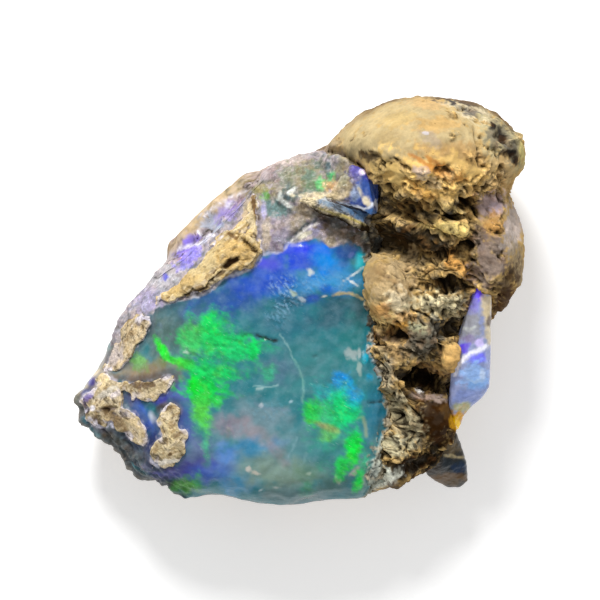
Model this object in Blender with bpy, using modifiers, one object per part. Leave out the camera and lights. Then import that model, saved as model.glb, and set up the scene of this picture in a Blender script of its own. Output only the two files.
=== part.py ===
"""Rough boulder opal: a nodule of precious opal in its tan host rock, lying on its back with the opal face up.

Seen from above, +X is to the right and +Y is towards the round knob of host rock. Every place below is in
millimetres from the middle of the stone's outline, at the level of the surface that it lies on. The host rock
is the bed: it wraps the back and the right side and rises into the knob. The opal body fills a seat in it, four
crusts of host rock cling to the opal's face, and three slivers of opal stand in the rock.
"""

import math
from bisect import bisect_right

import bmesh
import bpy
from mathutils import Matrix, Vector, noise

MM = 0.001
GAP = 0.32  # clearance between an opal and the rock that holds it or clings to it

ROCK_COLOUR = (0.52, 0.38, 0.20)
OPAL_COLOUR = (0.05, 0.25, 0.28)
SLIVER_COLOUR = (0.35, 0.40, 0.75)

ROCK_TRIANGLES = 3500
OPAL_TRIANGLES = 1900
CRUST_TRIANGLES = 330
SLIVER_TRIANGLES = 160

# The bed's outline from above, anticlockwise from its right flank.
BED_OUTLINE = [
    (20.8, 0.0), (22.2, 2.3), (22.5, 4.8), (22.1, 7.2), (21.2, 9.4), (21.3, 12.3), (21.9, 15.0),
    (20.4, 18.0), (18.0, 19.6), (15.0, 20.2), (11.9, 20.2), (8.8, 19.6), (6.1, 18.3), (4.0, 16.3),
    (1.6, 15.0), (-2.9, 13.7), (-5.5, 12.4), (-8.0, 11.0), (-10.1, 9.1), (-11.9, 6.9), (-13.8, 4.5),
    (-15.6, 1.6), (-18.3, -1.9), (-20.3, -6.6), (-22.4, -10.0), (-21.7, -12.5), (-19.3, -14.0),
    (-17.6, -15.9), (-15.9, -17.6), (-13.4, -18.5), (-11.3, -19.4), (-6.4, -19.9), (-2.2, -20.5),
    (2.1, -20.3), (6.3, -19.2), (10.2, -18.0), (12.6, -17.4), (15.0, -17.6), (15.9, -16.4), (15.3, -13.6),
    (16.0, -11.0), (17.6, -8.6), (18.3, -5.4), (19.3, -2.4),
]
# The opal body's outline: the stone's own along the left and the bottom, inside the rock elsewhere.
OPAL_OUTLINE = [
    (9.3, -8.0), (8.8, -3.0), (8.8, 2.0), (8.4, 6.0), (8.0, 9.6), (6.8, 12.4), (4.2, 14.2), (0.0, 14.6),
    (-2.9, 13.4), (-5.3, 11.5), (-7.4, 9.6), (-9.4, 7.8), (-11.0, 6.0), (-13.4, 4.2), (-15.5, 1.6),
    (-18.2, -1.9), (-20.2, -6.6), (-22.5, -10.0), (-21.7, -12.2), (-20.0, -13.5), (-18.5, -14.5),
    (-17.2, -16.0), (-16.0, -17.5), (-13.3, -18.2), (-12.4, -19.2), (-10.5, -19.7), (-8.6, -19.4),
    (-6.3, -19.9), (-2.2, -20.5), (2.1, -20.2), (6.2, -19.2), (8.2, -17.2), (9.0, -13.0),
]
OPAL_HEART = (-4.5, -3.5)  # the point that the opal's outline is seen whole from

# Swellings of the host rock: x, y, z of the middle, three half sizes, turn about Z in degrees.
ROCK_LUMPS = {
    "knob": (12.8, 14.3, 12.4, 9.6, 6.2, 10.2, -4),
    "knob_lobe": (19.0, 14.2, 12.0, 3.2, 5.0, 8.2, 12),
    "knob_shoulder": (6.0, 15.1, 11.2, 3.8, 3.0, 6.4, 30),
    "knob_brow": (13.0, 11.2, 12.6, 6.6, 4.0, 8.6, 0),
    "knob_skirt": (13.2, 7.4, 12.2, 5.6, 2.6, 7.4, -10),
    "flank": (19.0, 5.4, 11.2, 3.3, 7.0, 7.5, 3),
    "saddle": (14.6, 3.1, 12.0, 4.6, 2.5, 6.4, -15),
    "boulder": (9.2, 0.8, 12.8, 3.0, 4.1, 5.3, 10),
    "boulder_back": (14.4, -0.3, 12.2, 3.0, 1.9, 5.4, 0),
    "grey_lump": (12.5, -3.7, 11.8, 2.9, 3.0, 5.3, 0),
    "orange_lump": (15.0, -5.4, 11.4, 1.1, 2.4, 4.8, -5),
    "step": (9.1, -6.4, 10.9, 2.1, 5.2, 4.6, 14),
    "block": (12.8, -11.8, 9.2, 3.2, 3.2, 5.2, 0),
    "foot": (9.9, -15.2, 8.4, 3.7, 3.2, 5.4, 20),
    "rim_left": (-12.5, 5.1, 8.2, 4.0, 1.5, 3.8, 54),
    "rim_middle": (-9.3, 8.6, 8.6, 4.2, 1.5, 4.0, 46),
    "rim_right": (-5.6, 11.6, 8.8, 4.2, 1.5, 3.9, 34),
}
# Hollows worn into the host rock, as the swellings are given.
ROCK_HOLLOWS = {
    "slot": (12.7, -7.9, 14.6, 2.7, 1.2, 6.0, -8),
    "brow_cove": (10.6, 9.4, 21.0, 3.4, 0.8, 3.4, -10),
    "skirt_cove": (10.8, 5.2, 19.4, 5.2, 1.1, 4.0, -22),
    "saddle_pit": (15.4, 1.6, 18.4, 1.9, 0.8, 3.0, -5),
    "grey_pit": (15.2, -2.7, 16.8, 0.8, 1.1, 3.0, -20),
    "knob_pit": (16.6, 9.6, 20.8, 1.1, 0.7, 2.4, 25),
    "skirt_pit": (15.0, 8.1, 19.8, 0.9, 0.6, 1.8, 10),
}
# Crusts of host rock left on the opal's face: each lobe's heart, its height above the opal and its outline.
CRUSTS = {
    "crust_ridge": [
        ((-7.6, 4.2), 1.9, [
            (-15.2, -0.2), (-13.5, 1.0), (-11.5, 2.5), (-10.0, 4.2), (-9.3, 6.0), (-7.8, 7.2), (-6.0, 8.2),
            (-4.8, 7.6), (-4.0, 6.4), (-3.8, 5.0), (-4.2, 3.8), (-5.0, 3.0), (-6.5, 2.7), (-7.5, 2.2),
            (-8.5, 1.4), (-9.7, 0.8), (-11.0, 0.3), (-13.0, 0.0), (-14.2, -0.7),
        ]),
        ((-4.9, 9.4), 1.3, [
            (-6.0, 7.4), (-5.7, 8.8), (-5.2, 10.3), (-4.8, 11.6), (-4.4, 11.2), (-4.3, 9.8), (-4.5, 8.4), (-4.7, 7.2),
        ]),
    ],
    "crust_ledge": [
        ((4.0, 8.6), 1.3, [
            (-0.3, 10.0), (1.6, 10.4), (3.6, 10.2), (5.6, 9.8), (7.6, 9.0), (8.4, 7.4), (7.8, 6.3), (6.0, 6.9),
            (4.2, 7.6), (2.2, 8.5), (0.6, 9.3),
        ]),
    ],
    "crust_rim": [
        ((-17.3, -4.2), 1.3, [
            (-16.8, -1.6), (-15.4, -1.6), (-15.1, -2.2), (-15.7, -3.4), (-16.6, -4.6), (-17.3, -5.7),
            (-18.2, -6.6), (-19.1, -6.8), (-19.4, -5.9), (-18.6, -4.5), (-17.9, -3.0),
        ]),
    ],
    "crust_nose": [
        ((-19.8, -10.0), 1.5, [
            (-20.5, -7.6), (-19.5, -6.9), (-19.0, -7.8), (-18.2, -8.3), (-17.8, -9.4), (-18.1, -10.6),
            (-18.8, -12.1), (-19.8, -12.7), (-21.0, -12.2), (-21.8, -11.4), (-21.9, -10.4), (-21.4, -9.4),
            (-20.8, -8.9),
        ]),
        ((-15.8, -8.8), 1.3, [
            (-18.8, -8.2), (-17.5, -8.0), (-15.5, -8.0), (-14.0, -7.8), (-12.6, -7.4), (-12.8, -8.3),
            (-13.3, -9.1), (-14.3, -9.8), (-15.5, -10.3), (-16.8, -10.0), (-17.6, -9.2), (-18.6, -9.0),
        ]),
        ((-17.4, -12.2), 1.4, [
            (-18.8, -11.2), (-18.0, -10.4), (-16.7, -11.2), (-15.7, -12.3), (-15.3, -13.7), (-15.7, -14.6),
            (-16.3, -14.5), (-17.2, -13.4), (-18.2, -12.8), (-19.2, -12.7),
        ]),
    ],
    "crust_patch": [
        ((-13.3, -13.6), 1.4, [
            (-14.0, -11.2), (-13.0, -10.2), (-11.9, -10.8), (-12.2, -11.7), (-12.4, -12.4), (-11.5, -12.8),
            (-11.4, -14.2), (-12.0, -15.6), (-13.2, -16.6), (-14.4, -16.4), (-15.3, -15.1), (-14.7, -14.0),
            (-14.3, -12.9), (-14.4, -12.0),
        ]),
    ],
}
# Slivers of opal in the rock, each the hull of its corners.
OPAL_SHARD = [
    (5.2, 13.5, 17.4), (6.3, 13.0, 18.2), (7.3, 12.0, 18.7), (8.1, 9.2, 18.9), (7.8, 8.4, 18.2), (5.0, 9.4, 17.9),
    (2.6, 10.2, 17.6), (4.4, 11.4, 17.9), (4.6, 13.0, 13.6), (8.6, 12.4, 13.8), (8.6, 8.6, 14.0), (3.2, 10.6, 15.0),
]
OPAL_BLADE = [
    (18.0, 1.9, 16.0), (18.9, 1.5, 15.4), (16.9, -1.2, 14.8), (18.4, -2.6, 13.6), (16.0, -4.4, 14.2),
    (18.5, -4.5, 13.4), (16.8, -6.0, 15.2), (18.2, -6.4, 14.7), (18.8, -8.6, 13.2), (17.9, -10.0, 12.0),
    (15.3, -7.2, 13.4), (15.2, -10.2, 12.8), (16.9, -11.2, 10.8), (15.7, -13.1, 9.4), (15.0, -12.4, 10.2),
    (17.4, 0.6, 10.8), (15.4, -5.4, 9.4), (17.9, -5.0, 9.6), (17.4, -9.2, 8.6), (15.2, -12.2, 7.8),
]
OPAL_TIP = [
    (15.6, -13.2, 9.4), (14.2, -13.9, 10.4), (12.9, -15.6, 9.8), (16.6, -16.4, 7.6), (16.9, -18.2, 6.2),
    (16.0, -18.8, 5.4), (15.0, -18.8, 5.6), (13.8, -18.2, 6.4), (12.8, -17.5, 7.4), (15.0, -14.4, 5.0),
    (15.9, -17.6, 4.0), (13.6, -17.2, 4.4), (12.4, -15.0, 6.0),
]


def turned(x, y, degrees):
    """The point x, y in axes turned by that angle."""
    angle = math.radians(degrees)
    return x * math.cos(angle) + y * math.sin(angle), y * math.cos(angle) - x * math.sin(angle)


def blend(low, high, value):
    """0 at low, 1 at high, and a smooth change between."""
    share = min(1.0, max(0.0, (value - low) / (high - low)))
    return share * share * (3 - 2 * share)


def rough(point, size, seed):
    """Smooth noise from -1 to 1 at a place in millimetres, with swells of that size."""
    return noise.noise(Vector(point) / size + Vector((seed, seed * 1.7, seed * 0.3)))


def crumble(point, size, seed):
    """Ridged noise from 0 to about 1: sharp crests with hollows between, as on weathered tuff."""
    place = Vector(point) / size + Vector((seed, -seed, seed * 2.1))
    return 1 - abs(noise.fractal(place, 0.9, 2.1, 3)) * 1.8


class Outline:
    """A closed outline drawn smoothly through its points, read as a radius by angle round a heart point."""

    STEPS = 8

    def __init__(self, points, heart=(0.0, 0.0)):
        self.heart = heart
        polar = []
        for i in range(len(points)):
            before, start, end, after = (Vector(points[(i + k) % len(points)]) for k in (-1, 0, 1, 2))
            for step in range(self.STEPS):
                t = step / self.STEPS
                place = (
                    start * 2
                    + (end - before) * t
                    + (before * 2 - start * 5 + end * 4 - after) * t * t
                    + (start * 3 - before - end * 3 + after) * t**3
                ) / 2 - Vector(heart)
                polar.append((math.atan2(place.y, place.x), place.length))
        polar.sort()
        self.angles = [angle for angle, _ in polar]
        self.radii = [radius for _, radius in polar]

    def radius(self, angle):
        after = bisect_right(self.angles, angle) % len(self.angles)
        turn = (self.angles[after] - self.angles[after - 1]) % math.tau
        share = ((angle - self.angles[after - 1]) % math.tau) / turn
        return self.radii[after - 1] + (self.radii[after] - self.radii[after - 1]) * share

    def place(self, angle, share=1.0):
        """The point that lies that share of the way from the heart to the outline."""
        reach = share * self.radius(angle)
        return self.heart[0] + reach * math.cos(angle), self.heart[1] + reach * math.sin(angle)


OPAL = Outline(OPAL_OUTLINE, OPAL_HEART)


class BedOutline(Outline):
    """The bed's outline, drawn in raggedly under the opal along the left and the bottom."""

    DRAWN_IN = 0.025

    def radius(self, angle):
        degrees = math.degrees(angle) % 360
        hidden = blend(163, 170, degrees) * blend(297, 290, degrees)
        ragged = 0.8 * rough((math.cos(angle), math.sin(angle), 0.0), 0.22, 4.0)
        return super().radius(angle) * (1 - self.DRAWN_IN * hidden * (1 + ragged))


def ellipse_share(x, y, centre_x, centre_y, half_x, half_y, degrees):
    """Squared distance from an ellipse's centre, 1 on its edge."""
    across, along = turned(x - centre_x, y - centre_y, degrees)
    return (across / half_x) ** 2 + (along / half_y) ** 2


def bed_top(x, y):
    """Height of the bed of host rock: a floor under the opal, a bank on the right and a shelf under the blade."""
    shelf = blend(13.8, 15.6, x) * blend(0.5, -3.0, y)
    return 9.6 + 3.2 * blend(6.5, 10.0, x) - 3.6 * shelf - 2.4 * blend(-14.0, -20.0, x)


def opal_top(x, y):
    """Height of the opal's upper surface: a dished lower face, a raised upper facet and falling shoulders."""
    dish = ((x + 1.5) ** 2 + (y + 8.0) ** 2) / 11.0**2
    face = 14.2 + 0.05 * (y + 8.0) + 0.7 * min(dish, 1.4)
    step_line = 0.3 - 0.02 * (x - 3.6) ** 2 + 0.5 * blend(1.0, -6.0, x)
    facet = (0.5 + 0.03 * (y - step_line)) * blend(-0.15, 0.15, y - step_line) * blend(-5.0, 1.0, x)
    past_ridge = max(0.0, y - 0.4 - 0.62 * (x + 15.0))  # beyond the foot of the ridge crust
    shoulder = -0.34 * past_ridge * blend(-1.0, -6.0, x)
    overhang = 9.4 - 0.42 * x  # the line of the ledge
    moss = 2.0 * blend(overhang - 1.2, overhang + 0.6, y) * blend(-7.0, -1.0, x)
    moss -= 0.4 * max(0.0, y - 10.0) * blend(-5.5, -2.5, x)
    nose = -0.62 * max(0.0, -12.5 - x)
    foot = -0.35 * max(0.0, -15.5 - y) * blend(-8.0, -12.0, x)
    return face + facet + shoulder + moss + nose + foot


def opal_level(angle):
    """The opal's equator dips to the nose and rides high along the broken lower edge."""
    return 9.0 - 1.4 * blend(0.2, -1.0, math.cos(angle)) + 0.8 * blend(0.2, 1.0, -math.sin(angle))


def opal_fullness(angle):
    """A round shoulder along the opal's upper left, and a squarer broken edge along the bottom."""
    return 2.6 + 4.6 * blend(0.1, 0.7, -math.sin(angle)) + 3.0 * blend(0.3, 0.9, math.cos(angle))


def opal_skin(x, y):
    """Height of the opal's skin, rounded down to its equator near its outline."""
    from_heart = Vector((x, y)) - Vector(OPAL.heart)
    angle = math.atan2(from_heart.y, from_heart.x)
    share = min(1.0, from_heart.length / OPAL.radius(angle))
    return domed(opal_level(angle), opal_top(x, y), share, opal_fullness(angle))


def domed(level, far, share, fullness):
    """Height on a dome that leaves its rim at level, where share is 1, and nears far at its middle."""
    return level + (far - level) * math.sqrt(1 - share**fullness)


def blank(outline, detail, top, underside, level, fullness, under_fullness):
    """A closed blank: a ball's equator drawn out to the outline and its halves to the top and the underside.

    level and fullness are given by angle: the equator's height, and how squarely the rim turns up to the top.
    """
    mesh = bmesh.new()
    bmesh.ops.create_icosphere(mesh, subdivisions=detail, radius=1.0)
    for vert in mesh.verts:
        share = min(1.0, math.hypot(vert.co.x, vert.co.y))
        angle = math.atan2(vert.co.y, vert.co.x)
        x, y = outline.place(angle, share)
        far, power = (top(x, y), fullness(angle)) if vert.co.z > 0 else (underside(x, y), under_fullness)
        vert.co = Vector((x, y, domed(level(angle), far, share, power)))
    return mesh


def finished(name, *meshes):
    """A new object in the scene, from bmeshes in millimetres."""
    data = bpy.data.meshes.new(name)
    whole = bmesh.new()
    for mesh in meshes:
        bmesh.ops.recalc_face_normals(mesh, faces=mesh.faces)
        mesh.to_mesh(data)
        mesh.free()
        whole.from_mesh(data)
    bmesh.ops.scale(whole, vec=(MM, MM, MM), verts=whole.verts)
    whole.to_mesh(data)
    whole.free()
    obj = bpy.data.objects.new(name, data)
    bpy.context.scene.collection.objects.link(obj)
    return obj


def lumps(places, detail):
    """Ellipsoids in one bmesh: x, y, z, three half sizes and a turn about Z in degrees."""
    mesh = bmesh.new()
    for x, y, z, half_x, half_y, half_z, degrees in places:
        place = (
            Matrix.Translation((x, y, z))
            @ Matrix.Rotation(math.radians(degrees), 4, "Z")
            @ Matrix.Diagonal((half_x, half_y, half_z, 1))
        )
        bmesh.ops.create_icosphere(mesh, subdivisions=detail, radius=1.0, matrix=place)
    return mesh


def add_modifier(obj, kind, name, **settings):
    modifier = obj.modifiers.new(name, kind)
    for setting, value in settings.items():
        setattr(modifier, setting, value)


def settle(obj):
    """Replaces an object's mesh by what its modifiers make of it."""
    bpy.context.view_layer.update()
    graph = bpy.context.evaluated_depsgraph_get()
    shaped = bpy.data.meshes.new_from_object(obj.evaluated_get(graph))
    shaped.name = obj.name
    obj.modifiers.clear()
    obj.data = shaped


def melt(obj, voxel, softness=3):
    """Melts an object's lumps into one skin."""
    add_modifier(obj, "REMESH", "melt", mode="VOXEL", voxel_size=voxel * MM)
    add_modifier(obj, "SMOOTH", "soften", factor=0.5, iterations=softness)
    settle(obj)


def thin(obj, triangles):
    """Thins an object to about that many triangles."""
    obj.data.calc_loop_triangles()
    ratio = min(1.0, triangles / len(obj.data.loop_triangles))
    add_modifier(obj, "DECIMATE", "thin", ratio=ratio, use_collapse_triangulate=True)
    settle(obj)


def drop_crumbs(obj):
    """Keeps only an object's largest piece."""
    mesh = bmesh.new()
    mesh.from_mesh(obj.data)
    unseen = set(mesh.verts)
    pieces = []
    while unseen:
        piece = set()
        front = {unseen.pop()}
        while front:
            piece |= front
            around = {edge.other_vert(vert) for vert in front for edge in vert.link_edges}
            front = around & unseen
            unseen -= front
        pieces.append(piece)
    pieces.sort(key=len)
    bmesh.ops.delete(mesh, geom=[vert for piece in pieces[:-1] for vert in piece], context="VERTS")
    mesh.to_mesh(obj.data)
    mesh.free()


def roughen(obj, depth):
    """Moves each vertex along its normal by depth(place in millimetres), in millimetres."""
    moves = [(vert, vert.normal * depth(vert.co / MM) * MM) for vert in obj.data.vertices]
    for vert, move in moves:
        vert.co += move


def rock_relief(place):
    """Depth of the host rock's roughness: smooth on the knob's cap and the boulder, crumbled elsewhere."""
    cap = 1 - blend(0.8, 1.1, ellipse_share(place.x, place.y, 12.4, 16.4, 9.2, 5.4, -4))
    boulder = 1 - blend(0.6, 1.2, ellipse_share(place.x, place.y, 9.2, 1.0, 2.8, 3.6, 12))
    calm = max(cap, boulder) * blend(10.0, 14.0, place.z)
    swell = 0.45 * rough(place, 4.5, 3.0)
    crumbs = 0.7 * (crumble(place, 3.4, 11.0) - 0.55)
    return swell + crumbs * (1 - 0.85 * calm) * (0.4 + 0.6 * blend(7.0, 12.0, place.z))


def opal_relief(place):
    """Depth of the opal's relief: a nearly smooth face, and broken edges below and round the nose."""
    broken = blend(-18.4, -20.0, place.y) + blend(-16.0, -20.0, place.x) + blend(11.5, 9.0, place.z)
    skin = blend(1.0, 4.0, place.y - 0.62 * (place.x + 15.0))
    swell = 0.10 * rough(place, 7.0, 5.0)
    return swell + 0.4 * min(1.0, broken + 0.6 * skin) * (crumble(place, 3.4, 23.0) - 0.6)


def crust_relief(place):
    """Depth of a crust's roughness."""
    return 0.3 * (crumble(place, 1.8, 31.0) - 0.5)


def make_host_rock(cutters):
    def level(angle):
        """The equator runs higher on the knob's side than under the opal."""
        return 7.4 + 1.6 * math.cos(angle - math.radians(40))

    def underside(x, y):
        return -1.1 + 1.2 * rough((x, y, 0.0), 9.0, 8.0)

    bed = blank(BedOutline(BED_OUTLINE), 6, bed_top, underside, level, lambda angle: 5.0, 3.2)
    rock = finished("host_rock", bed, lumps(ROCK_LUMPS.values(), 4))
    melt(rock, 0.4, softness=8)

    hollows = finished("hollows", lumps(ROCK_HOLLOWS.values(), 3))
    put_away(hollows, cutters)
    cut(rock, hollows)
    melt(rock, 0.4)
    roughen(rock, rock_relief)
    melt(rock, 0.4)
    drop_crumbs(rock)
    for vert in rock.data.vertices:
        vert.co.z = max(0.0, vert.co.z)  # the broken back that the stone lies on
    thin(rock, ROCK_TRIANGLES)
    return rock


def make_opal_body():
    def underside(x, y):
        return 5.0 + 0.9 * rough((x, y, 0.0), 8.0, 2.0)

    opal = finished("opal_body", blank(OPAL, 6, opal_top, underside, opal_level, opal_fullness, 5.0))
    roughen(opal, opal_relief)
    thin(opal, OPAL_TRIANGLES)
    return opal


def make_crust_lobe(heart, height, points):
    """A flat dome of crust on the opal's face, with its edge a little proud of the face."""
    outline = Outline(points, heart)

    def level(angle):
        return opal_skin(*outline.place(angle)) + 0.3

    def top(x, y):
        return opal_skin(x, y) + height

    def underside(x, y):
        return opal_skin(x, y) - 1.0

    return blank(outline, 5, top, underside, level, lambda angle: 3.5, 3.5)


def make_crust(name, lobes):
    crust = finished(name, *(make_crust_lobe(*lobe) for lobe in lobes))
    melt(crust, 0.22)
    roughen(crust, crust_relief)
    thin(crust, CRUST_TRIANGLES)
    return crust


def make_sliver(name, corners, softness):
    """A sliver of opal with flat broken faces: the hull of its corners, with its edges worn."""
    mesh = bmesh.new()
    corners = [mesh.verts.new(corner) for corner in corners]
    hull = bmesh.ops.convex_hull(mesh, input=corners)
    inside = set(hull["geom_interior"]) | set(hull["geom_unused"])
    bmesh.ops.delete(mesh, geom=list(inside), context="VERTS")
    sliver = finished(name, mesh)
    melt(sliver, 0.2, softness)
    thin(sliver, SLIVER_TRIANGLES)
    return sliver


def put_away(obj, collection):
    """Moves a cutter out of sight, into the cutters' collection."""
    bpy.context.scene.collection.objects.unlink(obj)
    collection.objects.link(obj)
    obj.hide_render = True
    obj.display_type = "WIRE"


def seat_of(obj, cutters):
    """A cutter for the seat that holds a piece: the piece, swollen by the gap."""
    seat = obj.copy()
    seat.name = obj.name + "_seat"
    bpy.context.scene.collection.objects.link(seat)
    add_modifier(seat, "DISPLACE", "clear", strength=GAP * MM, mid_level=0.0)
    put_away(seat, cutters)
    return seat


def cut(obj, cutter):
    add_modifier(obj, "BOOLEAN", cutter.name, operation="DIFFERENCE", object=cutter)


def paint(obj, colour, roughness, transmission=0.0):
    material = bpy.data.materials.new(obj.name)
    material.use_nodes = True
    surface = material.node_tree.nodes["Principled BSDF"]
    surface.inputs["Base Color"].default_value = (*colour, 1.0)
    surface.inputs["Roughness"].default_value = roughness
    surface.inputs["Metallic"].default_value = 0.0
    surface.inputs["Transmission Weight"].default_value = transmission
    obj.data.materials.clear()
    obj.data.materials.append(material)


def gather(name):
    """Puts the pieces in a collection of that name."""
    stone = bpy.data.collections.new(name)
    loose = bpy.context.scene.collection
    loose.children.link(stone)
    for obj in list(loose.objects):
        loose.objects.unlink(obj)
        stone.objects.link(obj)


def main():
    for obj in list(bpy.data.objects):
        bpy.data.objects.remove(obj)
    cutters = bpy.data.collections.new("cutters")
    bpy.context.scene.collection.children.link(cutters)

    rock = make_host_rock(cutters)
    opal = make_opal_body()
    shard = make_sliver("opal_shard", OPAL_SHARD, softness=2)
    blade = make_sliver("opal_blade", OPAL_BLADE, softness=3)
    tip = make_sliver("opal_tip", OPAL_TIP, softness=10)
    crusts = [make_crust(name, lobes) for name, lobes in CRUSTS.items()]
    ledge = next(crust for crust in crusts if crust.name == "crust_ledge")

    opal_seat = seat_of(opal, cutters)
    for piece in (rock, shard, *crusts):
        cut(piece, opal_seat)
    for sliver in (shard, blade, tip):
        cut(rock, seat_of(sliver, cutters))
    cut(ledge, seat_of(shard, cutters))
    cut(rock, seat_of(ledge, cutters))
    settle(rock)
    drop_crumbs(rock)

    for piece in (rock, *crusts):
        paint(piece, ROCK_COLOUR, 0.9)
    paint(opal, OPAL_COLOUR, 0.2)
    for sliver in (shard, blade, tip):
        paint(sliver, SLIVER_COLOUR, 0.15, transmission=0.4)
    gather("boulder_opal")


main()
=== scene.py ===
"""Looks of a rough boulder opal that lies on its back: host rock, opal, crusts and slivers of clear opal.

Places and sizes are in mm, turns in degrees, and colours in 0 to 255, save for the linear ones inside the
materials. East is +x and north is +y.
"""

import math
from types import SimpleNamespace

import bmesh
import bpy
import numpy as np
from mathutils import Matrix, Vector, noise
from mathutils.bvhtree import BVHTree


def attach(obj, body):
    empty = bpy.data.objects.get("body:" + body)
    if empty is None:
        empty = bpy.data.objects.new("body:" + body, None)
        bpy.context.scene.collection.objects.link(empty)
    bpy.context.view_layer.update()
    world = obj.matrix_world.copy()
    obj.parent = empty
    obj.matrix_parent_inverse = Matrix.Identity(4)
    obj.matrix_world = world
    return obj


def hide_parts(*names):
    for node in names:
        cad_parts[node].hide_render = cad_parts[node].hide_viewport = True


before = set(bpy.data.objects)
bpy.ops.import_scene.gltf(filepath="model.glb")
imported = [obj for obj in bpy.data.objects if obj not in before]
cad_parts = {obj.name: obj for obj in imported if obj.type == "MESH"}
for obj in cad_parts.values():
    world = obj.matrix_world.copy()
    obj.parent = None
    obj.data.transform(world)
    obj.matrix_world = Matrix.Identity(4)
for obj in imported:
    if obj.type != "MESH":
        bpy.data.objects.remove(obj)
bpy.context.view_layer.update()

MM = 0.001
VIEW_WIDTH = 60.0  # how much of the plane through the stone's middle the camera sees
CAMERA_HEIGHT = 900.0
MIDDLE_HEIGHT = 11.0  # of the plane through the stone's middle
SENSOR = 36.0
WINDOW_PLACE = (-60, 300, 300)
WINDOW_SIZE = 130
WINDOW_POWER = 1.8
ROOM_LIGHT = 0.47
FLOOR_HALF = 2000  # half the length of the floor's sides
WELD = 0.001  # vertices closer than this are one
LEAN_DEPTH = 0.15  # how deep a surface that leans on its neighbour goes into it
SKY = 50.0  # a height above all of the stone, to look down from
SOFTENING = 0.5  # how far one round of smoothing moves a vertex towards its neighbours' middle
OPAL_VOXEL = 0.255  # size of the faces of each fine mesh
ROCK_VOXEL = 0.32
CRUST_VOXEL = 0.12
SLIVER_VOXEL = 0.09

# ---------------------------------------------------------------- numbers and noise


def ease(low, high, value):
    """0 at low, 1 at high, and a smooth change between."""
    share = np.clip((value - low) / (high - low), 0.0, 1.0)
    return share * share * (3 - 2 * share)


def turned(x, y, degrees):
    angle = math.radians(degrees)
    return x * math.cos(angle) + y * math.sin(angle), y * math.cos(angle) - x * math.sin(angle)


def grain_steps(points, size, degrees=0, seed=0):
    """Places counted in grains, whose size may differ along x, y and z and which may be turned in plan."""
    x, y = turned(points[:, 0], points[:, 1], degrees)
    return (np.c_[x, y, points[:, 2]] / np.asarray(size) + 19.7 * seed).tolist()


def swells(points, size, octaves=3, degrees=0, seed=0):
    """Cloudy noise of about -1 to 1."""
    steps = grain_steps(points, size, degrees, seed)
    return np.array([2 * noise.fractal(place, 1.0, 2.0, octaves) for place in steps])


def crests(points, size, octaves=3, degrees=0, seed=0):
    """Noise of sharp crests, about 0 to 1."""
    steps = grain_steps(points, size, degrees, seed)
    return np.array([noise.ridged_multi_fractal(place, 1.0, 2.0, octaves, 1.0, 2.0) for place in steps]) / 2


def clods(points, size, octaves=4, degrees=0, seed=0):
    """Round clods of many sizes with sharp creases between them, about -1 to 1."""
    steps = grain_steps(points, size, degrees, seed)
    return np.array([noise.turbulence(place, octaves, True) for place in steps]) * 2.4 - 1


def chips(points, size, degrees=0, seed=0):
    """A random number from -1 to 1 that is the same all over each angular chip."""
    steps = np.array(grain_steps(points, size, degrees, seed))
    steps += 0.35 * np.sin(2.9 * steps[:, [1, 2, 0]])
    return np.array([noise.cell(place) for place in steps.tolist()]) * 2 - 1


# ---------------------------------------------------------------- meshes


def add_modifier(obj, kind, **settings):
    modifier = obj.modifiers.new(kind.title(), kind)
    for setting, value in settings.items():
        setattr(modifier, setting, value)


def settle(obj):
    """Replaces an object's mesh by what its modifiers make of it."""
    bpy.context.view_layer.update()
    shaped = bpy.data.meshes.new_from_object(obj.evaluated_get(bpy.context.evaluated_depsgraph_get()))
    obj.modifiers.clear()
    obj.data = shaped


def even_out(obj, voxel, smoothing):
    """Builds the mesh anew with faces of one size, then smooths it."""
    add_modifier(obj, "REMESH", mode="VOXEL", voxel_size=voxel * MM)
    add_modifier(obj, "SMOOTH", factor=SOFTENING, iterations=smoothing)
    settle(obj)


def fine_copy(node, name, voxel, smoothing):
    """A fine even mesh of a CAD node, with the facets smoothed away."""
    mesh = bmesh.new()
    mesh.from_mesh(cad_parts[node].data)
    bmesh.ops.remove_doubles(mesh, verts=mesh.verts, dist=WELD * MM)
    data = bpy.data.meshes.new(name)
    mesh.to_mesh(data)
    mesh.free()
    obj = bpy.data.objects.new(name, data)
    bpy.context.scene.collection.objects.link(obj)
    even_out(obj, voxel, smoothing)
    return obj


def smooth(obj, iterations, share=None):
    """Smooths the mesh, all of it or each vertex by its share."""
    settings = {}
    if share is not None:
        group = obj.vertex_groups.new(name="smooth")
        for vertex in np.flatnonzero(share > 0.01).tolist():
            group.add([vertex], float(share[vertex]), "REPLACE")
        settings = {"vertex_group": "smooth"}
    add_modifier(obj, "SMOOTH", factor=SOFTENING, iterations=iterations, **settings)
    settle(obj)
    obj.vertex_groups.clear()


def places(obj):
    """Each vertex's place."""
    flat = np.empty(len(obj.data.vertices) * 3, np.float32)
    obj.data.vertices.foreach_get("co", flat)
    return flat.reshape(-1, 3).astype(float) / MM


def set_places(obj, points):
    obj.data.vertices.foreach_set("co", (points * MM).astype(np.float32).ravel())
    obj.data.update()


def normals(obj):
    flat = np.empty(len(obj.data.vertices) * 3, np.float32)
    obj.data.vertex_normals.foreach_get("vector", flat)
    return flat.reshape(-1, 3).astype(float)


def refine(obj, wanted):
    """Halves the mesh's edges where wanted, which takes the vertices' places and normals, is true."""
    chosen = wanted(places(obj), normals(obj))
    mesh = bmesh.new()
    mesh.from_mesh(obj.data)
    edges = [edge for edge in mesh.edges if chosen[edge.verts[0].index] and chosen[edge.verts[1].index]]
    bmesh.ops.subdivide_edges(mesh, edges=edges, cuts=1, use_grid_fill=True)
    bmesh.ops.triangulate(mesh, faces=[face for face in mesh.faces if len(face.verts) > 4])
    mesh.to_mesh(obj.data)
    mesh.free()


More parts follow.
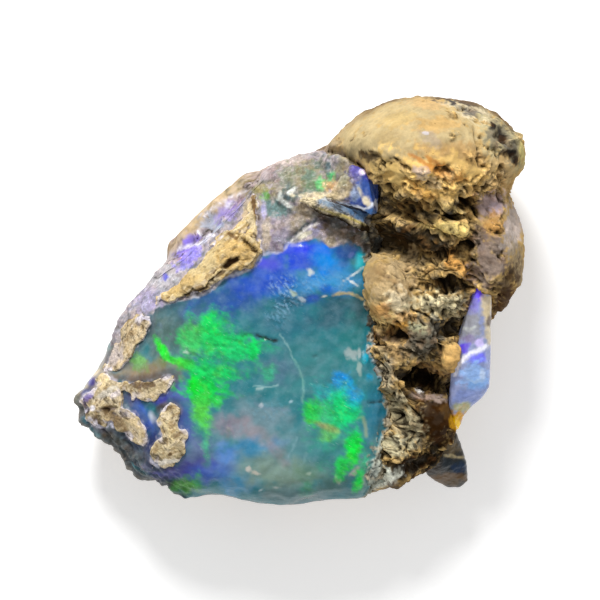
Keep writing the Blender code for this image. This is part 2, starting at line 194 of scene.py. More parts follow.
def coarsen(obj, hidden, kept):
    """Keeps that share of the faces where hidden, which takes the vertices' places and normals, is true."""
    chosen = hidden(places(obj), normals(obj))
    ratio = 1 - (1 - kept) * chosen.mean()
    group = obj.vertex_groups.new(name="hidden")
    group.add(np.flatnonzero(chosen).tolist(), 1.0, "REPLACE")
    add_modifier(obj, "DECIMATE", ratio=ratio, vertex_group="hidden", vertex_group_factor=1.0)
    settle(obj)
    obj.vertex_groups.clear()


def hollowness(obj, rounds):
    """How far each vertex lies below its surroundings: above 0 in pits, below 0 on crests."""
    ends = np.empty(len(obj.data.edges) * 2, np.int32)
    obj.data.edges.foreach_get("vertices", ends)
    first, second = ends[::2], ends[1::2]
    count = len(obj.data.vertices)
    neighbours = np.bincount(first, minlength=count) + np.bincount(second, minlength=count)
    start = places(obj)
    level = start.copy()
    for _ in range(rounds):
        for axis in range(3):
            column = level[:, axis]
            total = np.bincount(first, column[second], count) + np.bincount(second, column[first], count)
            level[:, axis] = (column + total / neighbours) / 2
    return ((level - start) * normals(obj)).sum(axis=1)


def tree_of(obj):
    """A search tree of an object's surface."""
    corners = [vertex.co.copy() for vertex in obj.data.vertices]
    return BVHTree.FromPolygons(corners, [tuple(face.vertices) for face in obj.data.polygons])


def heights_of(points, tree, fallback):
    """The height of a surface straight above or below each place, or the fallback where there is none."""
    heights = fallback.copy()
    for i, (x, y, _) in enumerate((points * MM).tolist()):
        found = tree.ray_cast((x, y, SKY * MM), (0, 0, -1))[0]
        if found is not None:
            heights[i] = found.z / MM
    return heights


def distance_to(points, tree, reach):
    """Distance from each place to a surface and the nearest place on it, up to reach."""
    gaps = np.full(len(points), reach)
    nearest = points.copy()
    for i, point in enumerate((points * MM).tolist()):
        found, _, _, gap = tree.find_nearest(point, reach * MM)
        if found is not None:
            gaps[i] = gap / MM
            nearest[i] = np.array(found) / MM
    return gaps, nearest


def lean_on(points, facing, tree, reach=1.0):
    """Places moved so that what faces a neighbour across a narrow gap lies just inside that neighbour."""
    gaps, nearest = distance_to(points, tree, reach)
    ahead = (nearest - points) / np.maximum(gaps, 1e-3)[:, None]
    pull = ease(reach, 0.4 * reach, gaps) * ease(0.0, 0.5, (ahead * facing).sum(axis=1))
    return blended(points, nearest + LEAN_DEPTH * ahead, pull)


def keep_colour(obj, name, values):
    """Stores a colour for each vertex, for the material to read."""
    attribute = obj.data.attributes.new(name, "FLOAT_COLOR", "POINT")
    attribute.data.foreach_set("color", np.c_[values, np.ones(len(values))].astype(np.float32).ravel())


def keep_number(obj, name, values):
    attribute = obj.data.attributes.new(name, "FLOAT", "POINT")
    attribute.data.foreach_set("value", np.asarray(values, np.float32))


def finish_piece(obj, material, node):
    obj.data.materials.clear()
    obj.data.materials.append(material)
    obj.data.shade_smooth()
    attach(obj, "root")
    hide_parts(node)


OUTLINE_PULLS = [  # how far east and north the outline is drawn, centre, half sizes, turn
    ((0.63, -0.59), (-10.4, 8.4), (7.6, 3.0), 41),
    ((0.1, -0.5), (6.6, 18.9), (4.2, 2.0), 22),
    ((0.35, 0.0), (22.0, 14.6), (1.4, 1.6), 0),
    ((-0.7, 0.0), (22.0, 11.2), (1.8, 1.5), 0),
    ((0.1, -0.7), (7.8, -19.4), (2.8, 1.6), 12),
]


def outline_shift(points):
    """How far each place moves where rock and opal are drawn in or out together along the outline."""
    shift = np.zeros_like(points)
    for way, place, halves, degrees in OUTLINE_PULLS:
        shift[:, :2] += patch_share(points, 0, place, halves, degrees, 0.7)[:, None] * way
    return shift


# ---------------------------------------------------------------- painting on the surface


def linear(colour):
    """A colour of 0 to 255 as the renderer's linear numbers."""
    share = np.asarray(colour, float) / 255
    return np.where(share <= 0.04045, share / 12.92, ((share + 0.055) / 1.055) ** 2.4)


def coat(points, colour):
    """One colour for every vertex."""
    return np.tile(linear(colour), (len(points), 1))


def blended(values, others, share):
    """Places or colours moved towards others by a share for each vertex."""
    return values + share[:, None] * (others - values)


def mixed(colours, colour, share):
    """Colours with one more colour mixed in by a share for each vertex."""
    return blended(colours, linear(colour), np.clip(share, 0, 1))


def patch_share(points, ragged, place, halves, degrees=0, edge=0.35):
    """1 inside an oval patch and 0 outside. The edge is a share of its size that fades, raggedly."""
    across, along = turned(points[:, 0] - place[0], points[:, 1] - place[1], degrees)
    out = np.sqrt((across / halves[0]) ** 2 + (along / halves[1]) ** 2) + ragged
    return ease(1 + edge, 1 - edge, out)


def line_share(points, route, width, edge=0.5):
    """1 on a line along the route and 0 away from it. The edge is a share of the width that fades."""
    x, y = points[:, 0], points[:, 1]
    nearest = np.full(len(x), 99.0)
    for (x0, y0), (x1, y1) in zip(route, route[1:]):
        run = (x1 - x0) ** 2 + (y1 - y0) ** 2
        share = np.clip(((x - x0) * (x1 - x0) + (y - y0) * (y1 - y0)) / run, 0, 1)
        nearest = np.minimum(nearest, np.hypot(x - x0 - share * (x1 - x0), y - y0 - share * (y1 - y0)))
    return ease(width * (1 + edge), width * (1 - edge), nearest)


def brushed(points, ragged, base, patches, edge=0.35):
    """Colours with soft patches of other colours laid over them in turn. The base may be one colour."""
    colours = base if np.ndim(base) > 1 else coat(points, base)
    for colour, strength, place, halves, degrees in patches:
        share = strength * patch_share(points, ragged, place, halves, degrees, edge)
        colours = mixed(colours, colour, share)
    return colours


def ruled(points, colours, lines):
    """Colours with thin broken lines of other colours drawn over them."""
    wavy = points[:, :2] + 0.07 * np.c_[swells(points, 0.6, 2, seed=7), swells(points, 0.6, 2, seed=8)]
    broken = 0.9 + 0.4 * swells(points, 0.6, 2, seed=33)
    for colour, strength, width, route in lines:
        share = strength * np.clip(broken, 0.2, 1) * line_share(wavy, route, width, 0.8)
        colours = mixed(colours, colour, share)
    return colours


# ---------------------------------------------------------------- shader nodes


class Shader:
    """A material or a node group under construction, with short calls for its nodes."""

    def __init__(self, tree):
        self.tree = tree

    def add(self, kind, **settings):
        node = self.tree.nodes.new(kind)
        for setting, value in settings.items():
            setattr(node, setting, value)
        return node

    def join(self, source, node, socket):
        """Feeds a socket from another one, or sets it to a plain value."""
        if isinstance(source, bpy.types.NodeSocket):
            self.tree.links.new(source, node.inputs[socket])
        else:
            node.inputs[socket].default_value = source

    def math(self, operation, *values):
        node = self.add("ShaderNodeMath", operation=operation)
        for socket, value in enumerate(values):
            self.join(value, node, socket)
        return node.outputs[0]

    def mix(self, share, first, second, blend_type="MIX"):
        node = self.add("ShaderNodeMix", data_type="RGBA", blend_type=blend_type)
        self.join(share, node, 0)
        self.join(first, node, 6)
        self.join(second, node, 7)
        return node.outputs[2]

    def remap(self, value, low, high, to_low=0.0, to_high=1.0):
        node = self.add("ShaderNodeMapRange", interpolation_type="SMOOTHSTEP")
        self.join(value, node, 0)
        for socket, number in zip((1, 2, 3, 4), (low, high, to_low, to_high)):
            self.join(number, node, socket)
        return node.outputs[0]

    def place(self, stretch=(1, 1, 1), turn=0):
        """Object coordinates, turned in plan and stretched."""
        spot = self.add("ShaderNodeTexCoord").outputs["Object"]
        node = self.add("ShaderNodeMapping", vector_type="TEXTURE")
        self.join(spot, node, "Vector")
        self.join((0, 0, math.radians(turn)), node, "Rotation")
        self.join(stretch, node, "Scale")
        return node.outputs[0]

    def noise(self, size, detail=3.0, roughness=0.55, stretch=(1, 1, 1), turn=0, distortion=0.0):
        """Cloudy noise of 0 to 1 with swells of that size in mm."""
        node = self.add("ShaderNodeTexNoise")
        self.join(self.place(stretch, turn), node, "Vector")
        self.join(1 / (size * MM), node, "Scale")
        self.join(detail, node, "Detail")
        self.join(roughness, node, "Roughness")
        self.join(distortion, node, "Distortion")
        return node.outputs["Fac"]

    def cells(self, size):
        """Distance from the middles of cells of that size in mm."""
        node = self.add("ShaderNodeTexVoronoi")
        self.join(self.place(), node, "Vector")
        self.join(1 / (size * MM), node, "Scale")
        return node.outputs["Distance"]

    def grain(self, size, contrast):
        """The shade and the height of the shared fine grain."""
        node = self.add("ShaderNodeGroup", node_tree=bpy.data.node_groups["fine grain"])
        self.join(size, node, "Size in mm")
        self.join(contrast, node, "Contrast")
        return node.outputs["Shade"], node.outputs["Height"]

    def attribute(self, name, output="Fac"):
        return self.add("ShaderNodeAttribute", attribute_name=name).outputs[output]

    def bump(self, height, depth):
        node = self.add("ShaderNodeBump")
        self.join(height, node, "Height")
        self.join(depth * MM, node, "Distance")
        self.join(1.0, node, "Strength")
        return node.outputs[0]


def grain_group():
    """The speckled fine grain that rock, opal and paper share."""
    group = bpy.data.node_groups.new("fine grain", "ShaderNodeTree")
    for name in ("Size in mm", "Contrast"):
        group.interface.new_socket(name, in_out="INPUT", socket_type="NodeSocketFloat")
    for name in ("Shade", "Height"):
        group.interface.new_socket(name, in_out="OUTPUT", socket_type="NodeSocketFloat")
    shader = Shader(group)
    given = shader.add("NodeGroupInput").outputs
    wanted = shader.add("NodeGroupOutput")
    coarse = shader.noise(1.0, 4.0, 0.6)
    coarse.node.inputs["Scale"].default_value = 1.0
    scale = shader.math("DIVIDE", 1.0, shader.math("MULTIPLY", given["Size in mm"], MM))
    shader.join(scale, coarse.node, "Scale")
    shade = shader.remap(coarse, 0.3, 0.7, -1.0, 1.0)
    shader.join(shader.math("MULTIPLY_ADD", shade, given["Contrast"], 1.0), wanted, "Shade")
    shader.join(coarse, wanted, "Height")


def new_material(name):
    material = bpy.data.materials.new(name)
    material.use_nodes = True
    shader = Shader(material.node_tree)
    return material, shader, material.node_tree.nodes["Principled BSDF"]


# ---------------------------------------------------------------- the opal

FACE_EDGE = [  # upper edge of the opal's broken face
    (-16.6, -4.4), (-15.2, -1.6), (-14.0, -0.5), (-12.0, 0.0), (-10.0, 0.4), (-8.5, 1.3), (-7.5, 2.3),
    (-5.5, 2.8), (-4.5, 3.7), (-4.0, 4.5), (-1.7, 4.9), (-1.1, 5.7), (1.5, 6.1), (2.3, 5.8), (3.0, 5.0),
    (3.7, 5.4), (4.6, 5.8), (5.8, 5.4), (6.7, 4.6), (8.0, 4.2),
]
RIGHT_EDGE = [  # where rock crumbs cover the right side of the face, from bottom to top: y and x
    (-20.0, 6.2), (-19.0, 6.3), (-17.0, 6.8), (-15.5, 7.0), (-14.6, 7.4), (-13.8, 8.0), (-12.6, 8.5),
    (-11.5, 8.7), (-9.0, 8.0), (-6.0, 7.3), (-4.0, 6.8), (0.0, 6.6), (4.6, 6.5), (6.0, 6.5),
]
LOWER_EDGE = [(-22.4, -11.6), (-18.2, -16.0), (-13.4, -19.8), (-8.5, -20.4)]  # from the nose to the right
KNOB_FOOT = [  # x, the skin's height south of the knob's foot, and the foot's own height
    (2.2, 15.4, 12.4), (3.0, 15.6, 14.2), (3.5, 15.6, 15.2),
    (4.5, 15.2, 16.6), (5.5, 14.7, 18.2), (6.5, 13.8, 19.4),
]
CLIMB_START = 10.8  # y where the skin starts to climb to the knob's foot
CLIMB_RUN = 4.1
RIPPLE_HEIGHT = 0.05
HACKLE_HEIGHT = 0.08
CRACK_DEPTH = 0.07
GROOVE_DEPTH = 0.16
RIM_SKIN = ((-10.2, 8.6), (8.6, 4.2), 41)  # centre, half sizes and turn of the skin along the tan rim
BULGE = ((-14.4, -17.9), (1.6, 1.2), -40)  # centre, half sizes and turn of a bulge in the lower slope
CRUST_NODES = ("crust_ridge", "crust_rim", "crust_nose", "crust_patch")
FACE_COLOUR = (38, 120, 130)
FACE_PATCHES = [  # the body colours of the face: colour, strength, centre, half sizes, turn
    ((60, 98, 112), 0.9, (-11.5, -1.0), (5.0, 1.6), 15),
    ((76, 100, 92), 0.9, (-13.4, -3.6), (3.6, 2.6), 0),
    ((40, 84, 150), 1.0, (-5.8, 0.6), (5.2, 2.0), 20),
    ((62, 128, 130), 0.7, (0.2, -7.2), (4.6, 3.0), 0),
    ((50, 128, 190), 0.9, (-0.6, 1.6), (3.4, 2.2), 0),
    ((58, 150, 215), 0.9, (3.4, 2.2), (3.4, 1.7), 0),
    ((32, 74, 196), 0.9, (-3.2, 2.4), (3.2, 1.9), 25),
    ((36, 58, 226), 1.0, (-0.2, 5.0), (2.6, 1.2), 5),
    ((34, 70, 214), 0.9, (-0.2, 3.8), (2.4, 0.9), 0),
    ((92, 90, 226), 0.8, (-3.0, 3.8), (0.9, 0.7), 0),
    ((0, 112, 232), 1.0, (2.4, 4.4), (1.1, 1.8), 0),
    ((0, 136, 226), 0.9, (2.9, 3.6), (1.2, 0.9), 0),
    ((30, 70, 148), 0.9, (4.7, 4.8), (1.4, 1.1), -15),
    ((0, 196, 214), 1.0, (5.9, 3.8), (0.55, 0.9), -15),
    ((30, 84, 210), 0.9, (1.3, 0.2), (0.8, 0.45), 20),
    ((20, 104, 206), 0.9, (2.7, 1.0), (0.8, 0.5), 0),
    ((44, 110, 130), 0.9, (-1.6, -1.8), (3.2, 2.0), 0),
    ((38, 88, 104), 0.9, (4.0, -1.4), (2.6, 1.5), 0),
    ((40, 80, 88), 0.8, (6.0, -0.9), (0.7, 1.5), 0),
    ((36, 124, 124), 0.7, (5.4, -4.6), (1.6, 2.6), 0),
    ((18, 122, 142), 0.8, (6.8, -5.2), (0.6, 2.0), 0),
    ((78, 110, 136), 0.7, (-2.2, -6.8), (1.6, 1.4), 0),
    ((96, 136, 140), 0.6, (-1.0, -15.4), (7.0, 3.4), -4),
    ((112, 138, 148), 0.8, (-4.6, -12.2), (3.4, 2.0), 0),
    ((150, 128, 142), 0.6, (-6.8, -12.4), (1.8, 1.2), -15),
    ((150, 136, 142), 0.5, (-4.0, -13.4), (2.6, 0.7), -35),
    ((44, 128, 172), 0.9, (-5.4, -15.0), (2.8, 1.0), 10),
    ((96, 140, 212), 0.9, (-7.4, -16.4), (1.1, 1.9), 0),
    ((70, 150, 196), 0.8, (-6.2, -18.2), (2.2, 1.2), 0),
    ((124, 148, 132), 0.9, (-2.0, -17.4), (4.2, 1.8), -8),
    ((88, 120, 124), 0.8, (0.6, -19.6), (4.4, 1.0), 0),
    ((100, 140, 110), 0.6, (0.9, -17.2), (1.6, 0.9), 0),
    ((70, 112, 106), 0.7, (3.2, -18.0), (1.4, 1.4), 0),
    ((50, 126, 128), 0.7, (2.6, -15.0), (2.0, 1.6), 0),
    ((38, 122, 150), 0.9, (7.5, -11.4), (1.1, 2.6), -10),
    ((108, 152, 136), 0.7, (6.6, -17.0), (0.7, 2.4), -15),
    ((96, 106, 150), 0.9, (-10.4, -15.6), (1.6, 2.2), 0),
    ((88, 104, 178), 0.9, (-12.1, -9.2), (1.6, 1.5), 0),
    ((70, 84, 160), 0.9, (-12.2, -12.4), (1.6, 2.2), 0),
    ((64, 60, 150), 0.9, (-12.6, -17.2), (2.6, 0.9), 20),
    ((60, 90, 190), 0.8, (-9.6, -17.6), (2.2, 1.0), 15),
    ((40, 76, 184), 1.0, (-15.6, -11.8), (0.8, 2.4), 25),
    ((56, 40, 120), 0.9, (-17.2, -9.8), (1.0, 0.6), -20),
    ((62, 66, 196), 1.0, (-13.7, -9.8), (0.9, 0.5), 25),
    ((34, 54, 110), 0.95, (-15.6, -14.6), (1.6, 1.5), -40),
    ((92, 84, 112), 0.95, (-14.6, -16.8), (2.6, 1.0), -25),
    ((54, 66, 84), 0.9, (-16.6, -15.6), (0.9, 0.9), -20),
    ((62, 50, 42), 0.95, (-18.4, -14.6), (2.4, 1.2), -40),
    ((112, 100, 92), 0.8, (-16.4, -17.6), (1.6, 0.6), -30),
    ((20, 27, 24), 0.95, (-17.8, -13.6), (1.2, 0.6), -20),
    ((132, 112, 80), 0.9, (-14.6, -6.9), (3.0, 0.7), -4),
    ((112, 98, 88), 0.9, (-14.0, -7.7), (3.0, 0.5), 0),
    ((120, 126, 70), 0.7, (-12.6, -6.4), (1.6, 0.5), -10),
    # painted shade beside the rock at the face's top right
    ((64, 50, 38), 0.9, (6.9, 5.2), (0.7, 0.8), 0),
    ((186, 168, 136), 0.95, (-18.0, -4.2), (0.7, 2.6), -32),  # remains of crust round the crusts
    ((160, 150, 150), 0.8, (-19.0, -6.2), (0.7, 0.9), -30),
    ((142, 118, 82), 0.9, (-15.4, -7.7), (2.6, 0.7), -4),
    # painted shadow above the arch crust
    ((80, 58, 34), 0.85, (-15.2, -8.3), (1.3, 0.35), 0),
    ((168, 148, 112), 0.9, (-13.0, -11.0), (1.0, 0.8), 20),
    ((64, 52, 36), 0.85, (-13.9, -10.9), (0.6, 0.4), 30),
    ((214, 220, 236), 0.9, (-14.8, -11.6), (0.35, 0.5), 30),
    ((56, 100, 196), 0.9, (-15.9, -11.0), (0.45, 1.0), 30),
    ((176, 160, 130), 1.0, (-20.4, -9.6), (2.2, 3.0), 30),  # rocky tip of the nose
    ((232, 208, 166), 0.9, (-20.0, -7.8), (0.8, 1.0), 0),
    ((64, 56, 160), 0.9, (-20.9, -8.2), (0.4, 0.5), -40),
    ((70, 66, 150), 0.9, (-21.3, -9.4), (0.5, 0.5), 0),
    ((206, 196, 180), 0.8, (-21.4, -11.0), (0.4, 0.8), 0),
    ((70, 54, 36), 0.95, (-19.6, -13.0), (2.6, 0.7), -38),
    ((48, 38, 28), 0.95, (-17.9, -15.0), (1.6, 0.45), -42),
    ((28, 22, 20), 0.95, (-12.9, -18.3), (0.8, 0.35), -10),
    ((30, 26, 24), 0.9, (-15.8, -17.9), (0.9, 0.25), -30),
    ((64, 56, 150), 0.9, (-13.2, -17.4), (1.8, 0.4), 0),
    ((150, 140, 132), 0.8, (-19.8, -5.6), (1.0, 1.4), -35),
]
FLASHES = [  # the play of colour: colour, strength, centre, half sizes, turn
    ((24, 168, 108), 0.42, (-8.3, -5.4), (3.5, 3.4), 0),
    ((36, 168, 124), 0.36, (3.6, -12.6), (2.8, 4.0), -10),
    ((10, 214, 84), 0.8, (-8.6, -2.9), (1.3, 1.6), 20),
    ((24, 206, 100), 0.85, (-8.4, -4.2), (2.9, 1.1), -8),
    ((20, 208, 110), 0.6, (-6.2, -4.9), (0.8, 1.1), 25),
    ((96, 150, 80), 0.5, (-10.6, -3.8), (1.2, 1.4), 0),
    ((20, 206, 96), 0.8, (-8.8, -7.2), (2.2, 0.9), -5),
    ((0, 208, 70), 0.95, (-9.6, -8.8), (1.9, 1.3), 0),
    ((0, 236, 14), 1.0, (-10.5, -8.6), (0.6, 0.9), 10),
    ((84, 208, 74), 0.8, (-9.8, -11.2), (0.9, 2.0), 5),
    ((60, 206, 90), 0.7, (-8.3, -10.1), (0.5, 0.8), 0),
    ((70, 176, 130), 0.6, (-9.4, -14.6), (0.3, 1.4), 8),
    ((30, 220, 50), 1.0, (-13.6, -5.0), (1.2, 0.35), -48),
    ((60, 210, 60), 0.9, (-11.8, -6.2), (1.3, 0.45), -20),
    ((104, 168, 82), 0.7, (-16.0, -6.2), (0.7, 0.9), 20),
    ((0, 218, 96), 0.95, (-4.6, -4.7), (0.55, 0.8), 10),
    ((40, 160, 122), 0.5, (-2.9, -5.0), (0.9, 0.5), 0),
    ((56, 180, 130), 0.6, (-3.2, -7.2), (0.8, 0.7), 30),
    ((30, 196, 74), 0.85, (1.1, -11.2), (0.9, 1.2), 10),
    ((0, 208, 110), 0.85, (4.2, -11.0), (1.3, 1.9), 10),
    ((60, 176, 110), 0.6, (2.6, -11.4), (1.0, 1.2), 0),
    ((96, 168, 90), 0.6, (2.8, -13.3), (1.0, 0.6), 0),
    ((0, 222, 60), 1.0, (5.2, -15.0), (0.7, 1.3), -22),
    ((30, 198, 80), 0.85, (4.1, -16.6), (0.6, 1.0), -15),
    ((20, 226, 84), 1.0, (5.8, -18.2), (0.45, 0.9), -15),
    ((60, 190, 140), 0.7, (6.6, -16.0), (0.4, 1.0), -15),
    ((50, 150, 120), 0.5, (0.8, -18.8), (0.9, 0.7), 30),
    ((74, 146, 60), 0.85, (-11.4, -18.6), (1.5, 0.8), 0),
    ((60, 176, 100), 0.6, (-10.2, -18.2), (0.5, 0.8), 0),
    ((14, 136, 214), 0.85, (4.0, -8.0), (0.9, 0.8), 0),
    ((40, 160, 170), 0.6, (2.8, -9.0), (1.2, 0.9), 0),
    ((30, 146, 218), 0.8, (5.2, -9.6), (0.8, 0.9), 0),
    ((150, 132, 152), 0.6, (-7.2, -12.8), (0.6, 0.9), 0),
    ((172, 160, 96), 0.7, (2.8, -12.7), (1.4, 0.3), -20),
    ((20, 150, 190), 0.8, (6.9, -7.7), (0.3, 0.4), 0),
    ((10, 170, 200), 0.7, (6.5, -5.8), (0.25, 0.7), 0),
]
HACKLES = [  # bands of fine pale streaks in the broken face, painted glints along its hackle marks: colour, strength, centre, half sizes, turn
    ((170, 200, 226), 0.9, (-1.2, 0.8), (1.4, 1.6), 20),
    ((130, 180, 214), 0.8, (-2.2, -1.2), (1.2, 1.4), 20),
    ((120, 170, 206), 0.6, (1.2, 1.6), (2.0, 1.2), 0),
    ((120, 176, 214), 0.5, (4.4, 1.6), (1.6, 0.8), 0),
    ((110, 190, 170), 0.5, (-7.0, -3.4), (1.6, 1.0), 0),
    ((150, 190, 170), 0.5, (-9.2, -5.6), (2.0, 0.7), 0),
    ((90, 160, 190), 0.4, (-3.0, -10.8), (1.8, 1.2), 0),
]
SPARKS = [  # pale glints and dull chips on the face: colour, strength, centre, half sizes, turn
    ((172, 186, 184), 0.8, (5.0, -5.3), (0.45, 0.5), 20),
    ((190, 200, 196), 0.7, (5.9, -5.2), (0.15, 0.5), 0),
    ((170, 190, 180), 0.7, (5.9, -6.8), (0.2, 0.6), 0),
    ((200, 226, 232), 0.8, (6.4, -5.6), (0.12, 0.45), 10),
    ((206, 224, 226), 0.8, (4.5, -10.4), (0.35, 0.2), 0),
    ((216, 204, 190), 0.8, (-5.2, -16.9), (0.3, 0.3), 0),
    ((206, 196, 180), 0.8, (-4.4, -17.3), (0.35, 0.2), -20),
    ((200, 214, 214), 0.8, (-4.0, -19.0), (0.3, 0.15), 40),
    ((180, 186, 180), 0.7, (-2.4, -18.7), (0.3, 0.15), 0),
    ((196, 206, 210), 0.8, (-3.9, -10.5), (0.25, 0.2), 0),
    ((176, 206, 216), 0.8, (-0.9, -10.1), (0.2, 0.2), 0),
    ((170, 196, 190), 0.7, (-4.0, -8.8), (0.3, 0.12), 0),
    ((206, 216, 206), 0.8, (-11.3, -5.2), (0.3, 0.15), 0),
    ((230, 240, 236), 0.9, (-8.2, -4.6), (0.15, 0.12), 0),
    ((230, 240, 236), 0.9, (-7.3, -4.7), (0.45, 0.13), -5),
    ((200, 190, 176), 0.7, (3.8, -17.9), (0.2, 0.4), 20),
    ((196, 180, 170), 0.7, (5.4, -17.2), (0.5, 0.3), 40),
    ((180, 190, 190), 0.6, (6.3, -18.0), (0.3, 0.5), 20),
    ((176, 196, 176), 0.6, (0.9, -17.3), (0.25, 0.2), 0),
    ((226, 232, 226), 0.9, (1.0, 2.8), (0.35, 0.25), -30),
    ((206, 220, 230), 0.8, (0.1, 0.1), (0.35, 0.2), -40),
    ((190, 206, 180), 0.8, (-0.6, 0.6), (0.4, 0.25), -30),
    ((226, 240, 246), 0.9, (5.4, 2.6), (0.9, 0.14), 35),
    ((236, 246, 250), 1.0, (5.3, 1.7), (0.65, 0.12), -35),
    ((214, 226, 236), 0.9, (6.6, 4.2), (0.5, 0.12), 60),
    ((236, 236, 226), 0.9, (2.4, 0.35), (0.35, 0.12), 20),
    ((150, 150, 226), 0.7, (-0.3, 5.4), (0.9, 0.2), 0),
    ((96, 112, 180), 0.6, (5.0, 4.4), (0.4, 0.25), 30),
]
NO_FLASH = 0.001  # the weight of the face's own colour among those of the flashes
CRACKS = 9  # how many of the face's lines are cracks, from the first
FACE_LINES = [  # colour, strength, half width, route
    ((8, 22, 22), 1.0, 0.15, [(-6.0, -4.6), (-5.8, -3.9), (-5.3, -3.5), (-4.2, -3.5), (-3.6, -3.8)]),
    ((8, 22, 22), 1.0, 0.13, [(-3.6, -3.75), (-3.1, -3.85), (-2.6, -4.1), (-2.3, -4.1)]),
    ((12, 36, 26), 1.0, 0.12, [(-9.4, -4.5), (-8.6, -4.65), (-7.8, -4.6), (-6.6, -4.75)]),
    ((26, 26, 14), 1.0, 0.1, [(-13.8, -5.8), (-13.4, -6.0)]),
    ((26, 26, 14), 1.0, 0.1, [(-13.2, -5.9), (-12.7, -6.1)]),
    ((20, 40, 40), 0.9, 0.1, [(6.8, -10.2), (7.8, -10.2), (8.2, -10.1)]),
    ((30, 70, 60), 0.8, 0.1, [(-10.8, -5.4), (-10.3, -5.5)]),
    ((20, 60, 40), 0.7, 0.1, [(-10.0, -6.9), (-9.4, -7.2)]),
    ((16, 60, 60), 0.8, 0.12, [(1.4, -5.7), (1.6, -5.6)]),
    ((112, 170, 160), 0.7, 0.12, [(-0.6, -6.0), (-0.1, -6.8), (0.3, -7.8), (0.4, -9.0), (0.2, -10.2)]),
    ((118, 160, 168), 0.6, 0.12, [(-0.3, -13.7), (-0.7, -14.8), (-1.2, -15.6)]),
    ((118, 160, 160), 0.5, 0.1, [(0.6, -15.2), (0.4, -16.3)]),
    ((160, 176, 150), 0.7, 0.12, [(4.2, -10.6), (4.7, -11.0), (5.0, -11.5), (5.5, -11.8), (6.2, -11.7)]),
    ((150, 166, 130), 0.8, 0.2, [(6.3, -11.7), (6.5, -12.5), (6.6, -13.5)]),
    # a painted glint along the crack's edge
    ((214, 238, 230), 0.9, 0.08, [(-9.3, -4.25), (-8.4, -4.4), (-7.2, -4.35), (-6.5, -4.5)]),
    ((150, 190, 188), 0.6, 0.08, [(-4.6, -8.6), (-3.4, -8.7), (-2.2, -8.5)]),
    ((140, 184, 184), 0.6, 0.08, [(-2.0, -3.4), (-1.2, -4.6), (-0.7, -5.8)]),
    ((156, 138, 146), 0.45, 0.5, [
        (-5.4, -12.2), (-4.8, -13.2), (-3.8, -14.0), (-2.8, -14.7), (-2.0, -15.5), (-1.5, -16.2)]),
    ((110, 130, 150), 0.5, 0.15, [(-4.5, -10.2), (-3.5, -10.8), (-1.0, -11.0)]),
    ((212, 190, 130), 0.9, 0.13, [(3.3, 0.45), (4.0, 0.7), (4.8, 0.7), (5.5, 0.45), (6.2, 0.05)]),
    ((226, 224, 236), 0.95, 0.16, [
        (-15.0, -0.9), (-14.0, -0.45), (-12.0, 0.0), (-10.0, 0.4), (-8.5, 1.35), (-7.5, 2.3), (-5.5, 2.85),
        (-4.5, 3.75), (-4.0, 4.5)]),
    ((196, 190, 214), 0.8, 0.16, [(-4.0, 4.5), (-2.6, 4.7), (-1.7, 4.95), (-1.1, 5.7), (0.2, 6.0)]),
]
# painted shade for the flanks, stone and vein colours of the slope, painted shade for its hollows and
# painted light for its crests
SLOPE_COLOURS = [(34, 44, 48), (84, 76, 72), (34, 50, 70), (22, 17, 14), (156, 140, 120)]
SEAM_VIOLET = (38, 32, 62)
SEAM_WHITE = (206, 200, 214)
SKIN_COLOUR = (150, 138, 144)
